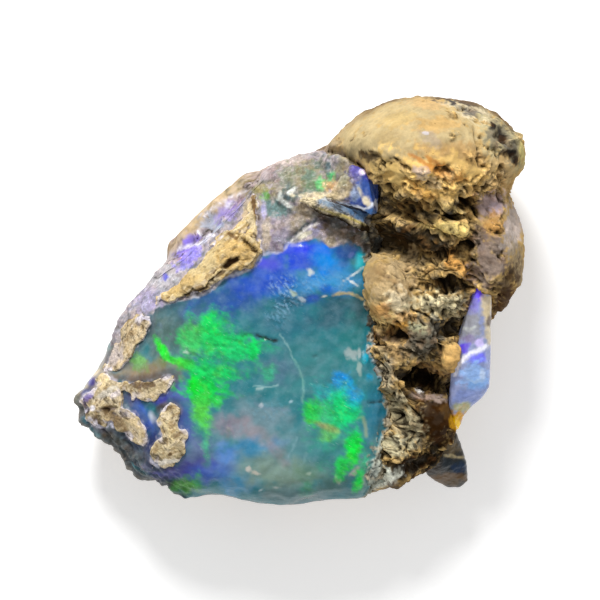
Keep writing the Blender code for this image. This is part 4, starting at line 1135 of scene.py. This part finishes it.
ROCK_PITS = [  # depth, centre, half sizes, turn
    (2.2, (16.5, 9.7), (1.0, 0.5), 15),
    (2.0, (15.1, 8.4), (0.9, 0.4), -10),
    (0.7, (9.6, 8.7), (1.6, 0.6), -10),
    (0.8, (16.4, 5.6), (0.9, 0.7), 0),
    (0.9, (15.0, 1.7), (1.6, 0.5), -12),
    (0.7, (20.0, 16.3), (0.5, 0.8), 15),
    (0.5, (20.6, 14.2), (0.8, 0.5), 0),
    (0.6, (7.2, 14.2), (0.8, 0.35), -20),
    (1.0, (15.0, -2.9), (0.8, 0.6), 40),
    (0.4, (9.6, -3.6), (1.8, 0.4), -14),
    (0.5, (8.6, 12.2), (0.5, 0.3), 20),
    (0.5, (10.6, 13.1), (0.5, 0.25), -30),
    (0.4, (17.8, 14.0), (0.4, 0.15), 0),
    (0.4, (18.8, 14.9), (0.15, 0.3), 0),
    (0.35, (18.4, 11.5), (0.2, 0.2), 0),
    (0.35, (18.9, 11.1), (0.25, 0.2), 0),
    (0.35, (20.3, 11.3), (0.2, 0.25), 0),
    (0.5, (18.0, 17.9), (0.5, 0.2), -40),
    (0.4, (20.9, 2.2), (0.3, 0.8), -25),
    (0.4, (17.4, 16.3), (0.15, 0.9), 10),
    (1.3, (12.6, -8.0), (2.5, 0.65), -17),
    (0.8, (21.8, 10.6), (0.8, 1.4), 0),
    (0.5, (8.6, -4.6), (1.6, 0.3), -30),
    (0.6, (11.4, -16.6), (2.4, 0.5), 12),
]


def rock_material():
    material, shader, surface = new_material("rock")
    tint = shader.attribute("tint", "Color")
    rough = shader.attribute("rough")
    speck, height = shader.grain(0.24, shader.math("MULTIPLY_ADD", rough, 0.16, 0.06))
    mottle, _ = shader.grain(1.4, 0.12)
    stains_and_painted_light = shader.mix(1.0, tint, shader.math("MULTIPLY", speck, mottle), "MULTIPLY")
    crumble = shader.noise(0.56, 5.0, 0.62, stretch=(2.2, 1.0, 1.0), turn=-34, distortion=0.4)
    # painted light on the crumbs and painted shade in the gaps between them
    lit = shader.math("MULTIPLY", rough, shader.remap(crumble, 0.5, 0.68, 0.0, 0.5))
    stains_and_painted_light = shader.mix(lit, stains_and_painted_light, shader.mix(1.0, stains_and_painted_light, (1.72, 1.7, 1.5, 1), "MULTIPLY"))
    gap = shader.math("MULTIPLY", rough, shader.remap(crumble, 0.46, 0.36, 0.0, 0.8))
    stains_and_painted_light = shader.mix(gap, stains_and_painted_light, (0.03, 0.022, 0.011, 1))
    dots = shader.remap(shader.cells(0.55), 0.05, 0.13)
    sparse = shader.remap(shader.noise(0.9, 2.0), 0.5, 0.6)
    dots = shader.math("MAXIMUM", dots, shader.math("SUBTRACT", 1.0, sparse))
    colour = shader.mix(dots, shader.mix(1.0, stains_and_painted_light, (0.42, 0.36, 0.3, 1), "MULTIPLY"), stains_and_painted_light)
    shader.join(colour, surface, "Base Color")
    shader.join(0.9, surface, "Roughness")
    shader.join(0.06, surface, "Specular IOR Level")
    depth = shader.math("MULTIPLY", height, shader.math("MULTIPLY_ADD", rough, 0.7, 0.3))
    depth = shader.math("MULTIPLY_ADD", shader.math("MULTIPLY", crumble, rough), 3.5, depth)
    shader.join(shader.bump(depth, 0.1), surface, "Normal")
    return material


def rock_blank(opal):
    """The rock as a fine mesh: thinned below the opal and underneath, finest where it is crumbly."""
    obj = fine_copy("host_rock", "rock", ROCK_VOXEL, 8)

    def hidden(points, facing):
        covered = heights_of(points + outline_shift(points), opal, points[:, 2] - 1) > points[:, 2]
        return (covered & (points[:, 0] < 6)) | (facing[:, 2] < -0.6)

    coarsen(obj, hidden, 0.3)
    refine(obj, lambda points, facing: (points[:, 0] > 5.5) & (facing[:, 2] > -0.25))
    smooth(obj, 2)
    return obj


def rock_zones(points, facing, ragged):
    """How far each vertex faces up, is smooth and has coarse clods, and the bent places the clods are drawn
    at.
    """
    calm = np.zeros(len(points))
    for share, place, halves, degrees in SMOOTH_ROCK:
        calm = np.maximum(calm, share * patch_share(points, ragged, place, halves, degrees, 0.2))
    bend = [swells(points, 1.2, 2, seed=41), swells(points, 1.2, 2, seed=42), np.zeros(len(points))]
    bent = points + 0.3 * np.transpose(bend)
    clod = clods(bent, (2.3, 1.1, 1.1), 5, -32, seed=13)
    strands = 1.6 * crests(bent, (3.2, 0.8, 0.8), 4, -38, seed=19) - 1
    clod += (ease(-3.0, -5.0, points[:, 1]) * ease(6.0, 7.5, points[:, 0])) * (strands - clod)
    return SimpleNamespace(top=ease(-0.15, 0.25, facing[:, 2]), calm=calm, bent=bent, clod=clod)


def rock_relief(points, facing, ragged, zones):
    """How far each vertex of the rock stands out of its smooth form: crumbs, clods, swells and pits."""
    top, calm = zones.top, zones.calm
    lumps = 0.35 * swells(points, 2.6, 3, seed=12)
    bits = 0.08 * chips(zones.bent, (1.2, 0.5, 0.5), -32, seed=14)
    holes = -0.5 * ease(0.35, 0.7, swells(points, (1.7, 0.8, 0.8), 2, -28, seed=18))
    fine = 0.05 * swells(points, 0.5, 3, seed=16)
    front = ease(-0.4, 0.2, facing[:, 2])
    rough = (0.35 + 0.65 * front) * (lumps + 0.34 * zones.clod + bits + holes)
    relief = calm * (0.2 * lumps + fine) + (1 - calm) * rough
    for height, place, halves, degrees in ROCK_SWELLS:
        relief += top * height * patch_share(points, ragged, place, halves, degrees, 0.6)
    for depth, place, halves, degrees in ROCK_PITS:
        relief -= top * depth * patch_share(points, ragged, place, halves, degrees, 0.5)
    return relief


def bed_share(points, facing, opal):
    """1 where the rock faces the opal that lies in it, 0 elsewhere."""
    gaps, nearest = distance_to(points, opal, 3.0)
    toward = ((nearest - points) * facing).sum(axis=1) / np.maximum(gaps, 1e-3)
    return ease(3.0, 1.2, gaps) * ease(-0.4, 0.2, toward) * ease(7.0, 5.5, points[:, 0])


def flush_share(points, ragged):
    """1 where the rock lies level with the opal or just below its skin, 0 elsewhere."""
    rim = patch_share(points, 0.5 * ragged, *FLUSH_RIM, 0.12)
    return np.maximum(rim, patch_share(points, 0, *KNOB_FOOT_ROCK, 0.7))


def lowered(points, opal, flush):
    """Places lowered where the rock is flush with the opal."""
    gaps, nearest = distance_to(points, opal, 8.0)
    away = np.hypot(points[:, 0] - nearest[:, 0], points[:, 1] - nearest[:, 1])
    level = nearest[:, 2] - RIM_DROP - RIM_FALL * away
    toe = ease(0.0, 1.5, points[:, 0])
    level += toe * (heights_of(points, opal, level + LEAN_DEPTH) - LEAN_DEPTH - level)
    points[:, 2] -= flush * (gaps < 8) * np.maximum(points[:, 2] - level, 0)
    return points


def close_seam(obj, opal, flush):
    """Lays the rim just over the opal's edge, so that no gap shows between them."""
    points = places(obj)
    gaps, nearest = distance_to(points, opal, 1.5)
    covered = heights_of(points, opal, points[:, 2] - 1) > points[:, 2] + 0.05
    rim = flush * ease(2.0, 0.0, points[:, 0]) * ease(1.5, 0.7, gaps) * (1 - covered)
    set_places(obj, blended(points, nearest + RIM_LAP * normals(obj), rim))
    smooth(obj, 2)


def seen_share(points, facing):
    """1 where the rock has the colours of its top, 0 on the plain sides and underneath."""
    low = 4 + 9 * ease(14.0, 18.0, points[:, 1])
    side = ease(-0.6, -0.1, facing[:, 2]) * ease(low, low + 5, points[:, 2])
    cap_back = 0.8 * ease(0.5, 0.2, facing[:, 2]) * ease(15.0, 18.0, points[:, 1])
    cap_back *= ease(17.0, 13.0, points[:, 2])
    return np.maximum(ease(-0.1, 0.3, facing[:, 2]), side) * (1 - cap_back)


def plain_colours(points):
    """Stained rock with no detail of its own."""
    stain = swells(points, 5.0, 4, seed=44)
    plain = mixed(coat(points, SIDE_ROCK), SIDE_PALE, 0.7 * ease(0.05, 0.6, stain))
    return mixed(plain, SIDE_BROWN, 0.7 * ease(0.05, 0.6, -stain))


def paint_rock(obj, facing, ragged, flush, zones):
    points = places(obj)
    pit = hollowness(obj, 5)
    wide_pit = hollowness(obj, 50)
    jagged = ragged + 0.3 * swells(points, 0.45, 3, seed=43)
    tint = brushed(points, jagged, ROCK_BASE, ROCK_PATCHES)
    tint = blended(tint, skin_colours(points, jagged), flush * ease(5.0, 2.0, points[:, 0]))
    seen = seen_share(points, facing)
    tint = blended(plain_colours(points), tint, seen)
    calm = zones.calm * ease(-0.5, 0.1, facing[:, 2])
    rough = 1 - calm
    warm = swells(points, 1.1, 3, seed=17)
    tint = mixed(tint, RUST, 0.14 * ease(0.1, 0.8, warm) * (1 - 0.7 * calm))
    tint = mixed(tint, ASH, 0.3 * ease(0.1, 0.8, -warm) * (1 - 0.7 * calm))
    # painted light on the crests of the crumbs
    tint *= (1 + 0.6 * ease(0.0, 0.1, -pit) * rough)[:, None]
    brow = np.maximum.reduce([patch_share(points, ragged, *area) for area in BROWS])
    # painted light on the lit brow
    tint *= (1 + 0.18 * brow)[:, None]
    # painted shade in the pits
    shade = 0.95 * ease(0.0, 0.09, pit) * (1 - 0.5 * calm) * (1 - 0.7 * flush) * (1 - 0.45 * brow)
    tint = mixed(tint, PIT_SHADE, shade)
    # painted shade in the creases between the clods
    gap = 0.6 * ease(-0.3, -0.75, zones.clod) * rough * zones.top * (1 - flush) * (1 - 0.5 * brow)
    tint = mixed(tint, CLOD_SHADE, gap)
    crease = patch_share(points, 0, *KNOB_CREASE, 0.3)
    # painted shade in the wide hollows
    tint = mixed(tint, HOLLOW_SHADE, 0.9 * ease(0.15, 0.6, wide_pit) * (1 - flush) * (1 - crease))
    keep_colour(obj, "tint", tint)
    keep_number(obj, "rough", rough * (0.6 + 0.4 * seen) * (1 - 0.2 * brow))


def make_rock(material, opal):
    obj = rock_blank(opal)
    points, facing = places(obj), normals(obj)
    points += outline_shift(points)
    ragged = 0.3 * swells(points, 1.4, 3, seed=11)
    zones = rock_zones(points, facing, ragged)
    bed = bed_share(points, facing, opal)
    relief = rock_relief(points, facing, ragged, zones) * (1 - bed)
    points = lean_on(points + relief[:, None] * facing, facing, opal, 3.0)
    flush = flush_share(points, ragged)
    set_places(obj, lowered(points, opal, flush))
    smooth(obj, 12, np.maximum(flush, 0.7 * bed))
    close_seam(obj, opal, flush)
    paint_rock(obj, facing, ragged, flush, zones)
    finish_piece(obj, material, "host_rock")


# ---------------------------------------------------------------- crusts and slivers


CRUST_SPREAD = {  # node: how much wider than the node its dressed shape is, and its shift east and north
    "crust_ridge": (1.0, 0.0, 0.0),
    "crust_ledge": (1.0, 0.0, 0.0),
    "crust_rim": (1.22, -0.35, -0.1),
    "crust_nose": (1.05, -0.1, -0.1),
    "crust_patch": (1.12, 0.0, -0.25),
}
DENT_SHADE = 90  # a patch darker than this is a dent in the crust as well
DENT_DEPTH = 0.7
CRUST_PALE = (183, 165, 131)
CRUST_VEIN = (142, 112, 72)
CRUST_FLECK = (232, 216, 186)
CRUST_CREST_LIGHT = (226, 206, 158)
CRUST_PIT_SHADE = (60, 40, 20)
CRUST_LIP = (226, 220, 232)
CRUSTS = {  # node: name, colour, roughness, share of its thickness kept, patches
    "crust_ridge": ("ridge_crust", (208, 182, 128), 0.75, 0.55, [
        ((204, 184, 138), 0.8, (-9.6, 3.6), (3.0, 0.9), 40),
        ((204, 168, 102), 0.7, (-6.2, 4.6), (2.0, 1.6), 30),
        ((196, 164, 104), 0.7, (-11.8, 1.6), (2.0, 0.6), 30),
        ((96, 66, 36), 0.9, (-4.6, 9.6), (0.3, 1.4), 8),
        ((206, 188, 150), 0.8, (-4.9, 8.4), (0.3, 1.6), 12),
        ((40, 24, 10), 1.0, (-6.9, 3.8), (1.0, 0.32), 32),
        ((40, 24, 10), 0.95, (-5.5, 5.9), (0.8, 0.2), -40),
        ((40, 24, 10), 0.95, (-4.7, 5.2), (0.7, 0.2), -48),
        ((50, 30, 14), 0.9, (-4.3, 6.2), (0.5, 0.16), -50),
        ((90, 60, 30), 0.8, (-6.6, 6.3), (0.7, 0.2), -35),
        ((60, 38, 18), 0.9, (-10.2, 0.95), (1.3, 0.18), 18),
        ((70, 46, 24), 0.8, (-8.0, 2.6), (0.9, 0.18), 30),
    ]),
    "crust_ledge": ("ledge_crust", (110, 104, 92), 0.2, 1.0, [
        ((214, 198, 160), 1.0, (2.0, 10.2), (2.6, 0.4), 0),
        ((116, 132, 150), 1.0, (4.2, 9.2), (2.6, 0.7), -18),
        ((90, 120, 154), 1.0, (6.2, 8.6), (1.6, 0.7), -20),
        ((190, 196, 202), 0.9, (3.8, 9.7), (2.0, 0.16), -14),
        ((186, 168, 96), 0.9, (5.2, 8.0), (1.8, 0.14), -24),
        ((132, 120, 66), 0.8, (3.0, 8.7), (1.6, 0.14), -20),
        # painted shadow under the ledge's lower edge
        ((40, 28, 14), 1.0, (4.4, 7.5), (3.4, 0.36), -24),
        ((44, 32, 18), 1.0, (6.6, 6.8), (1.2, 0.6), -20),
    ]),
    "crust_rim": ("rim_crust", (204, 182, 144), 0.5, 0.3, [
        ((190, 178, 176), 0.8, (-18.6, -5.4), (0.8, 1.2), 0),
        ((60, 40, 24), 0.9, (-15.6, -1.9), (0.5, 0.3), -30),
        ((60, 44, 26), 0.8, (-17.0, -1.8), (0.5, 0.15), 20),
    ]),
    "crust_nose": ("nose_crust", (190, 172, 136), 0.5, 0.32, [
        ((222, 202, 164), 0.9, (-15.8, -9.6), (2.6, 0.4), 8),
        # painted shadow along the arch's upper edge
        ((92, 68, 40), 0.85, (-15.4, -8.5), (1.4, 0.35), 0),
        ((236, 212, 166), 0.9, (-19.9, -8.0), (0.7, 0.9), 0),
        ((214, 206, 192), 0.8, (-19.4, -9.3), (1.0, 0.35), 30),
        ((86, 68, 46), 0.9, (-19.3, -10.9), (0.8, 0.5), -10),
        ((40, 28, 18), 0.9, (-19.3, -10.9), (0.4, 0.25), -10),
        ((112, 92, 66), 0.8, (-18.4, -12.2), (1.6, 0.5), -35),
        ((214, 192, 152), 0.8, (-16.6, -12.2), (1.4, 0.4), -48),
        ((60, 44, 30), 0.8, (-17.6, -11.4), (0.5, 0.3), -40),
        ((112, 100, 166), 0.85, (-21.2, -9.6), (0.35, 0.8), -30),
        ((244, 238, 244), 0.95, (-20.8, -10.8), (0.22, 0.35), 20),
        ((60, 48, 60), 0.9, (-21.5, -10.9), (0.25, 0.5), 10),
        ((244, 238, 244), 0.9, (-21.0, -11.9), (0.3, 0.16), -30),
        ((70, 54, 40), 0.85, (-20.2, -12.2), (0.7, 0.3), -35),
        ((226, 214, 214), 0.85, (-18.4, -9.4), (0.5, 0.3), 30),
        ((92, 76, 96), 0.8, (-17.4, -9.6), (0.4, 0.25), 0),
    ]),
    "crust_patch": ("boot_crust", (204, 186, 146), 0.5, 0.32, [
        ((236, 228, 214), 0.9, (-13.6, -16.2), (1.8, 0.25), 10),
        ((92, 70, 38), 0.8, (-13.2, -10.8), (0.6, 0.2), 30),
        ((110, 84, 50), 0.7, (-12.2, -13.4), (0.6, 0.3), 20),
        ((90, 64, 30), 0.8, (-13.0, -15.4), (0.3, 0.15), 30),
        ((100, 76, 44), 0.7, (-13.8, -14.2), (0.4, 0.2), -20),
    ]),
}


def crust_relief(points, facing, ragged, dents):
    """How far each vertex of a crust stands out of its smooth form."""
    relief = 0.16 * swells(points, 1.5, 3, seed=21) + 0.07 * chips(points, (0.9, 0.5, 0.5), 35, seed=22)
    relief -= 0.3 * ease(0.3, 0.65, swells(points, 0.9, 2, seed=24))
    relief += 0.12 * (crests(points, (1.2, 0.5, 0.5), 3, 35, seed=25) - 0.5)
    relief += 0.05 * swells(points, 0.4, 2, seed=26)
    relief += 0.12 * clods(points, 1.1, 5, 30, seed=28)
    top = ease(0.2, 0.6, facing[:, 2])
    for _, strength, place, halves, degrees in dents:
        relief -= DENT_DEPTH * strength * top * patch_share(points, ragged, place, halves, degrees, 0.5)
    return relief


def paint_crust(obj, colour, patches, ragged, opal):
    points = places(obj)
    pit = hollowness(obj, 8)
    veins = swells(points, (1.5, 0.5, 0.5), 3, 35, seed=29)
    flecks = swells(points, (0.9, 0.4, 0.4), 3, 35, seed=30)
    tint = coat(points, colour)
    tint = mixed(tint, CRUST_PALE, 0.6 * ease(-0.1, 0.6, swells(points, 1.6, 2, seed=23)))
    tint = mixed(tint, CRUST_VEIN, 0.6 * ease(0.05, 0.5, veins))
    tint = mixed(tint, CRUST_FLECK, 0.5 * ease(0.1, 0.5, flecks))
    # painted light on the crusts' crests and painted shade in their pits
    tint = mixed(tint, CRUST_CREST_LIGHT, 0.5 * ease(0.0, 0.06, -pit))
    tint = mixed(tint, CRUST_PIT_SHADE, 0.9 * ease(0.005, 0.06, pit))
    tint = brushed(points, ragged, tint, patches, 0.4)
    lip = ease(0.32, 0.12, distance_to(points, opal, 1.0)[0])
    broken = ease(-0.3, 0.1, swells(points, 1.3, 2, seed=40))
    keep_colour(obj, "tint", mixed(tint, CRUST_LIP, 0.85 * lip * broken))


def make_crust(node, material, opal):
    name, colour, roughness, thickness, patches = CRUSTS[node]
    obj = fine_copy(node, name, CRUST_VOXEL, 8)
    points, facing = places(obj), normals(obj)
    ragged = 0.35 * swells(points, 0.7, 3, seed=27)
    dents = [patch for patch in patches if max(patch[0]) < DENT_SHADE and node != "crust_ledge"]
    points += (roughness * crust_relief(points, facing, ragged, dents))[:, None] * facing
    wider, east, north = CRUST_SPREAD[node]
    middle = (points.min(axis=0) + points.max(axis=0)) / 2
    points[:, :2] += (wider - 1) * (points - middle)[:, :2] + (east, north)
    gaps, nearest = distance_to(points, opal, 4.0)
    points = np.where(gaps[:, None] < 4.0, nearest + thickness * (points - nearest), points)
    set_places(obj, lean_on(points, facing, opal))
    smooth(obj, 1 if node == "crust_ledge" else 5)
    paint_crust(obj, colour, patches, ragged, opal)
    keep_number(obj, "rough", np.full(len(ragged), 0.5 if node == "crust_ridge" else 0.85))
    finish_piece(obj, material, node)


FROSTED_SHARD = ((3.8, 11.2), (2.2, 2.6), -28)  # centre, half sizes and turn of the shard's rocky left part
SLIVERS = {  # node: name, colour, patches, lines
    "opal_shard": ("shard_opal", (34, 60, 128), [
        ((146, 130, 98), 1.0, (3.8, 11.4), (1.7, 2.2), -28),
        ((186, 160, 120), 0.8, (3.4, 11.4), (0.7, 0.5), 10),
        ((196, 176, 136), 0.9, (3.2, 10.2), (1.2, 0.4), 10),
        ((128, 124, 96), 0.8, (4.4, 12.0), (0.4, 0.8), -30),
        ((110, 128, 160), 0.9, (5.6, 10.6), (0.5, 0.9), -20),
        ((80, 70, 150), 0.95, (5.5, 12.8), (0.5, 0.9), 0),
        ((240, 222, 250), 1.0, (6.2, 12.7), (0.35, 0.3), -30),
        ((48, 40, 122), 0.95, (6.7, 12.1), (0.5, 0.4), -20),
        ((40, 74, 146), 0.9, (6.8, 10.6), (0.6, 1.4), 15),
        ((214, 200, 170), 0.95, (6.6, 9.7), (0.35, 0.6), 30),
        ((96, 118, 140), 0.95, (4.6, 9.0), (2.6, 0.5), -10),
        ((64, 110, 172), 0.95, (7.1, 8.6), (0.6, 0.6), 0),
        ((206, 208, 216), 0.9, (7.7, 9.2), (0.2, 0.5), 20),
    ], [
        ((224, 228, 238), 0.9, 0.12, [(3.6, 9.7), (5.4, 9.3), (6.4, 9.0), (7.1, 9.3), (7.6, 9.9)]),
        ((214, 200, 168), 0.9, 0.14, [(5.8, 11.0), (6.2, 10.3), (6.6, 9.9)]),
        ((60, 56, 90), 0.8, 0.1, [(4.4, 12.8), (5.0, 12.2), (5.4, 11.4), (5.6, 10.6)]),
    ]),
    "opal_blade": ("blade_opal", (140, 150, 190), [
        ((96, 66, 232), 1.0, (17.9, 0.8), (0.6, 1.1), -20),
        ((132, 126, 206), 0.95, (17.2, -0.8), (0.6, 0.8), -20),
        ((214, 194, 150), 0.95, (18.6, -0.6), (0.55, 1.5), 0),
        ((206, 190, 150), 0.9, (18.8, -3.0), (0.4, 1.3), 0),
        ((86, 60, 34), 0.9, (18.9, -2.2), (0.3, 0.6), 0),
        ((144, 144, 150), 0.95, (17.0, -2.7), (1.2, 1.5), 0),
        ((128, 116, 156), 0.8, (16.9, -3.9), (0.7, 0.4), 0),
        ((94, 74, 216), 1.0, (16.4, -4.7), (0.55, 0.5), 0),
        ((206, 192, 246), 0.95, (17.9, -4.3), (0.5, 0.45), 0),
        ((116, 116, 244), 0.95, (17.7, -5.8), (0.9, 0.6), 20),
        ((152, 190, 244), 0.95, (17.4, -7.6), (1.4, 1.3), 0),
        ((206, 224, 250), 0.8, (18.2, -7.4), (0.3, 0.5), 0),
        ((120, 168, 226), 0.7, (17.4, -8.6), (0.8, 0.6), 0),
        ((130, 146, 200), 0.95, (16.9, -9.6), (1.6, 0.7), 10),
        ((166, 170, 122), 0.95, (16.1, -10.8), (0.9, 0.5), 0),
        # the tip's own amber colour with a painted glow of light shining through it
        ((206, 150, 8), 1.0, (15.6, -12.1), (1.2, 1.0), 30),
        ((150, 100, 10), 0.8, (15.0, -11.6), (0.35, 0.7), 0),
        ((255, 208, 12), 1.0, (15.6, -12.5), (0.6, 0.6), 0),
        ((255, 248, 206), 1.0, (15.5, -12.8), (0.16, 0.14), 0),
    ], [
        ((186, 190, 186), 0.8, 0.14, [(16.2, -2.8), (16.8, -3.0), (17.5, -2.6)]),
        ((244, 244, 255), 1.0, 0.24, [
            (18.5, -4.6), (17.9, -5.0), (16.9, -5.3), (16.2, -6.0), (15.6, -6.7), (15.4, -7.4)]),
        ((170, 200, 236), 0.8, 0.12, [(16.6, -7.8), (17.4, -8.2), (18.2, -8.0)]),
    ]),
    "opal_tip": ("tip_opal", (34, 29, 18), [
        ((20, 12, 4), 1.0, (14.0, -14.0), (1.5, 1.3), 0),
        ((92, 76, 46), 0.9, (15.2, -14.7), (0.7, 0.9), 0),
        ((166, 150, 112), 1.0, (15.5, -15.7), (0.9, 0.18), -8),
        ((18, 30, 36), 1.0, (15.4, -16.6), (1.5, 0.7), 0),
        ((18, 42, 70), 0.9, (15.9, -17.0), (0.8, 0.6), 0),
        ((92, 68, 38), 1.0, (14.8, -17.9), (2.0, 0.6), 0),
        ((80, 70, 52), 0.6, (15.4, -18.3), (0.9, 0.3), 0),
        ((44, 34, 24), 0.9, (13.4, -16.6), (0.7, 0.9), 0),
    ], []),
}


def make_sliver(node, material):
    name, colour, patches, lines = SLIVERS[node]
    shard = node == "opal_shard"
    obj = fine_copy(node, name, SLIVER_VOXEL, 4 if shard else 24)
    points, facing = places(obj), normals(obj)
    frost = patch_share(points, 0, *FROSTED_SHARD) * shard
    plump = 0.0 if shard else 0.2  # what the smoothing takes off
    points += (plump + (0.03 + 0.1 * frost) * swells(points, 0.9, 3, seed=31))[:, None] * facing
    if shard:
        points[:, 0] -= 0.8 * ease(5.6, 8.4, points[:, 0])
    if node == "opal_blade":
        waist = ease(-9.4, -11.2, points[:, 1]) * ease(-14.0, -11.6, points[:, 1])
        points[:, 0] -= 0.55 * waist * ease(15.2, 17.2, points[:, 0])
    set_places(obj, points)
    ragged = 0.3 * swells(points, (0.6, 0.6, 6.0), 3, seed=32)
    keep_colour(obj, "tint", ruled(points, brushed(points, ragged, colour, patches, 0.45), lines))
    keep_number(obj, "frost", frost)
    keep_number(obj, "milk", np.full(len(points), 0.02 if node == "opal_tip" else 0.12))
    finish_piece(obj, material, node)


def sliver_material():
    material, shader, surface = new_material("clear opal")
    tint = shader.attribute("tint", "Color")
    frost = shader.attribute("frost")
    speck, height = shader.grain(0.4, shader.math("MULTIPLY_ADD", frost, 0.25, 0.1))
    cloud = shader.remap(shader.noise(0.9, 3.0, stretch=(1.0, 2.2, 1.0), turn=-15), 0.4, 0.75)
    milky = shader.mix(shader.math("MULTIPLY", cloud, shader.attribute("milk")), tint, (0.72, 0.78, 0.9, 1))
    colour = shader.mix(1.0, milky, speck, "MULTIPLY")
    shader.join(colour, surface, "Base Color")
    shader.join(shader.math("MULTIPLY_ADD", frost, 0.5, 0.14), surface, "Roughness")
    shader.join(0.08, surface, "Transmission Weight")
    # painted glow: a faint emission of the slivers' own colour
    shader.join(colour, surface, "Emission Color")
    shader.join(0.2, surface, "Emission Strength")
    shader.join(0.25, surface, "Specular IOR Level")
    shader.join(0.12, surface, "Coat Weight")
    shader.join(0.06, surface, "Coat Roughness")
    shader.join(shader.bump(height, 0.05), surface, "Normal")
    return material


# ---------------------------------------------------------------- floor, light and camera


def make_floor():
    mesh = bmesh.new()
    bmesh.ops.create_grid(mesh, x_segments=1, y_segments=1, size=FLOOR_HALF * MM)
    data = bpy.data.meshes.new("floor")
    mesh.to_mesh(data)
    mesh.free()
    floor = bpy.data.objects.new("floor", data)
    bpy.context.scene.collection.objects.link(floor)
    material, shader, surface = new_material("pale paper")
    tone = shader.remap(shader.noise(40.0, 2.0), 0.3, 0.7, 0.86, 0.9)
    fibres, _ = shader.grain(0.5, 0.01)
    shader.join(shader.math("MULTIPLY", tone, fibres), surface, "Base Color")
    shader.join(0.9, surface, "Roughness")
    shader.join((1, 1, 1, 1), surface, "Emission Color")
    shader.join(0.4, surface, "Emission Strength")
    data.materials.append(material)


def add_window():
    """A soft lamp behind the stone, to the left, that points at it."""
    lamp = bpy.data.lights.new("window", "AREA")
    lamp.shape = "DISK"
    lamp.size = WINDOW_SIZE * MM
    lamp.energy = WINDOW_POWER
    obj = bpy.data.objects.new("window", lamp)
    obj.location = Vector(WINDOW_PLACE) * MM
    obj.rotation_euler = Vector(WINDOW_PLACE).to_track_quat("Z", "Y").to_euler()
    bpy.context.scene.collection.objects.link(obj)


def light_room():
    world = bpy.context.scene.world or bpy.data.worlds.new("studio")
    bpy.context.scene.world = world
    world.use_nodes = True
    background = world.node_tree.nodes["Background"]
    background.inputs["Strength"].default_value = ROOM_LIGHT
    background.inputs["Color"].default_value = (1, 1, 1, 1)


def add_camera():
    lens = bpy.data.cameras.new("camera")
    lens.sensor_width = SENSOR
    lens.lens = SENSOR * (CAMERA_HEIGHT - MIDDLE_HEIGHT) / VIEW_WIDTH
    camera = bpy.data.objects.new("camera", lens)
    camera.location = (0, 0, CAMERA_HEIGHT * MM)
    bpy.context.scene.collection.objects.link(camera)
    bpy.context.scene.camera = camera


# ---------------------------------------------------------------- the scene

add_camera()
add_window()
light_room()
grain_group()
make_floor()
rock = rock_material()
opal = opal_material()
clear = sliver_material()
opal_surface = tree_of(make_opal(opal))
make_rock(rock, opal_surface)
for crust in CRUSTS:
    make_crust(crust, rock, opal_surface)
for sliver in SLIVERS:
    make_sliver(sliver, clear)
bpy.context.scene.view_settings.view_transform = "Standard"
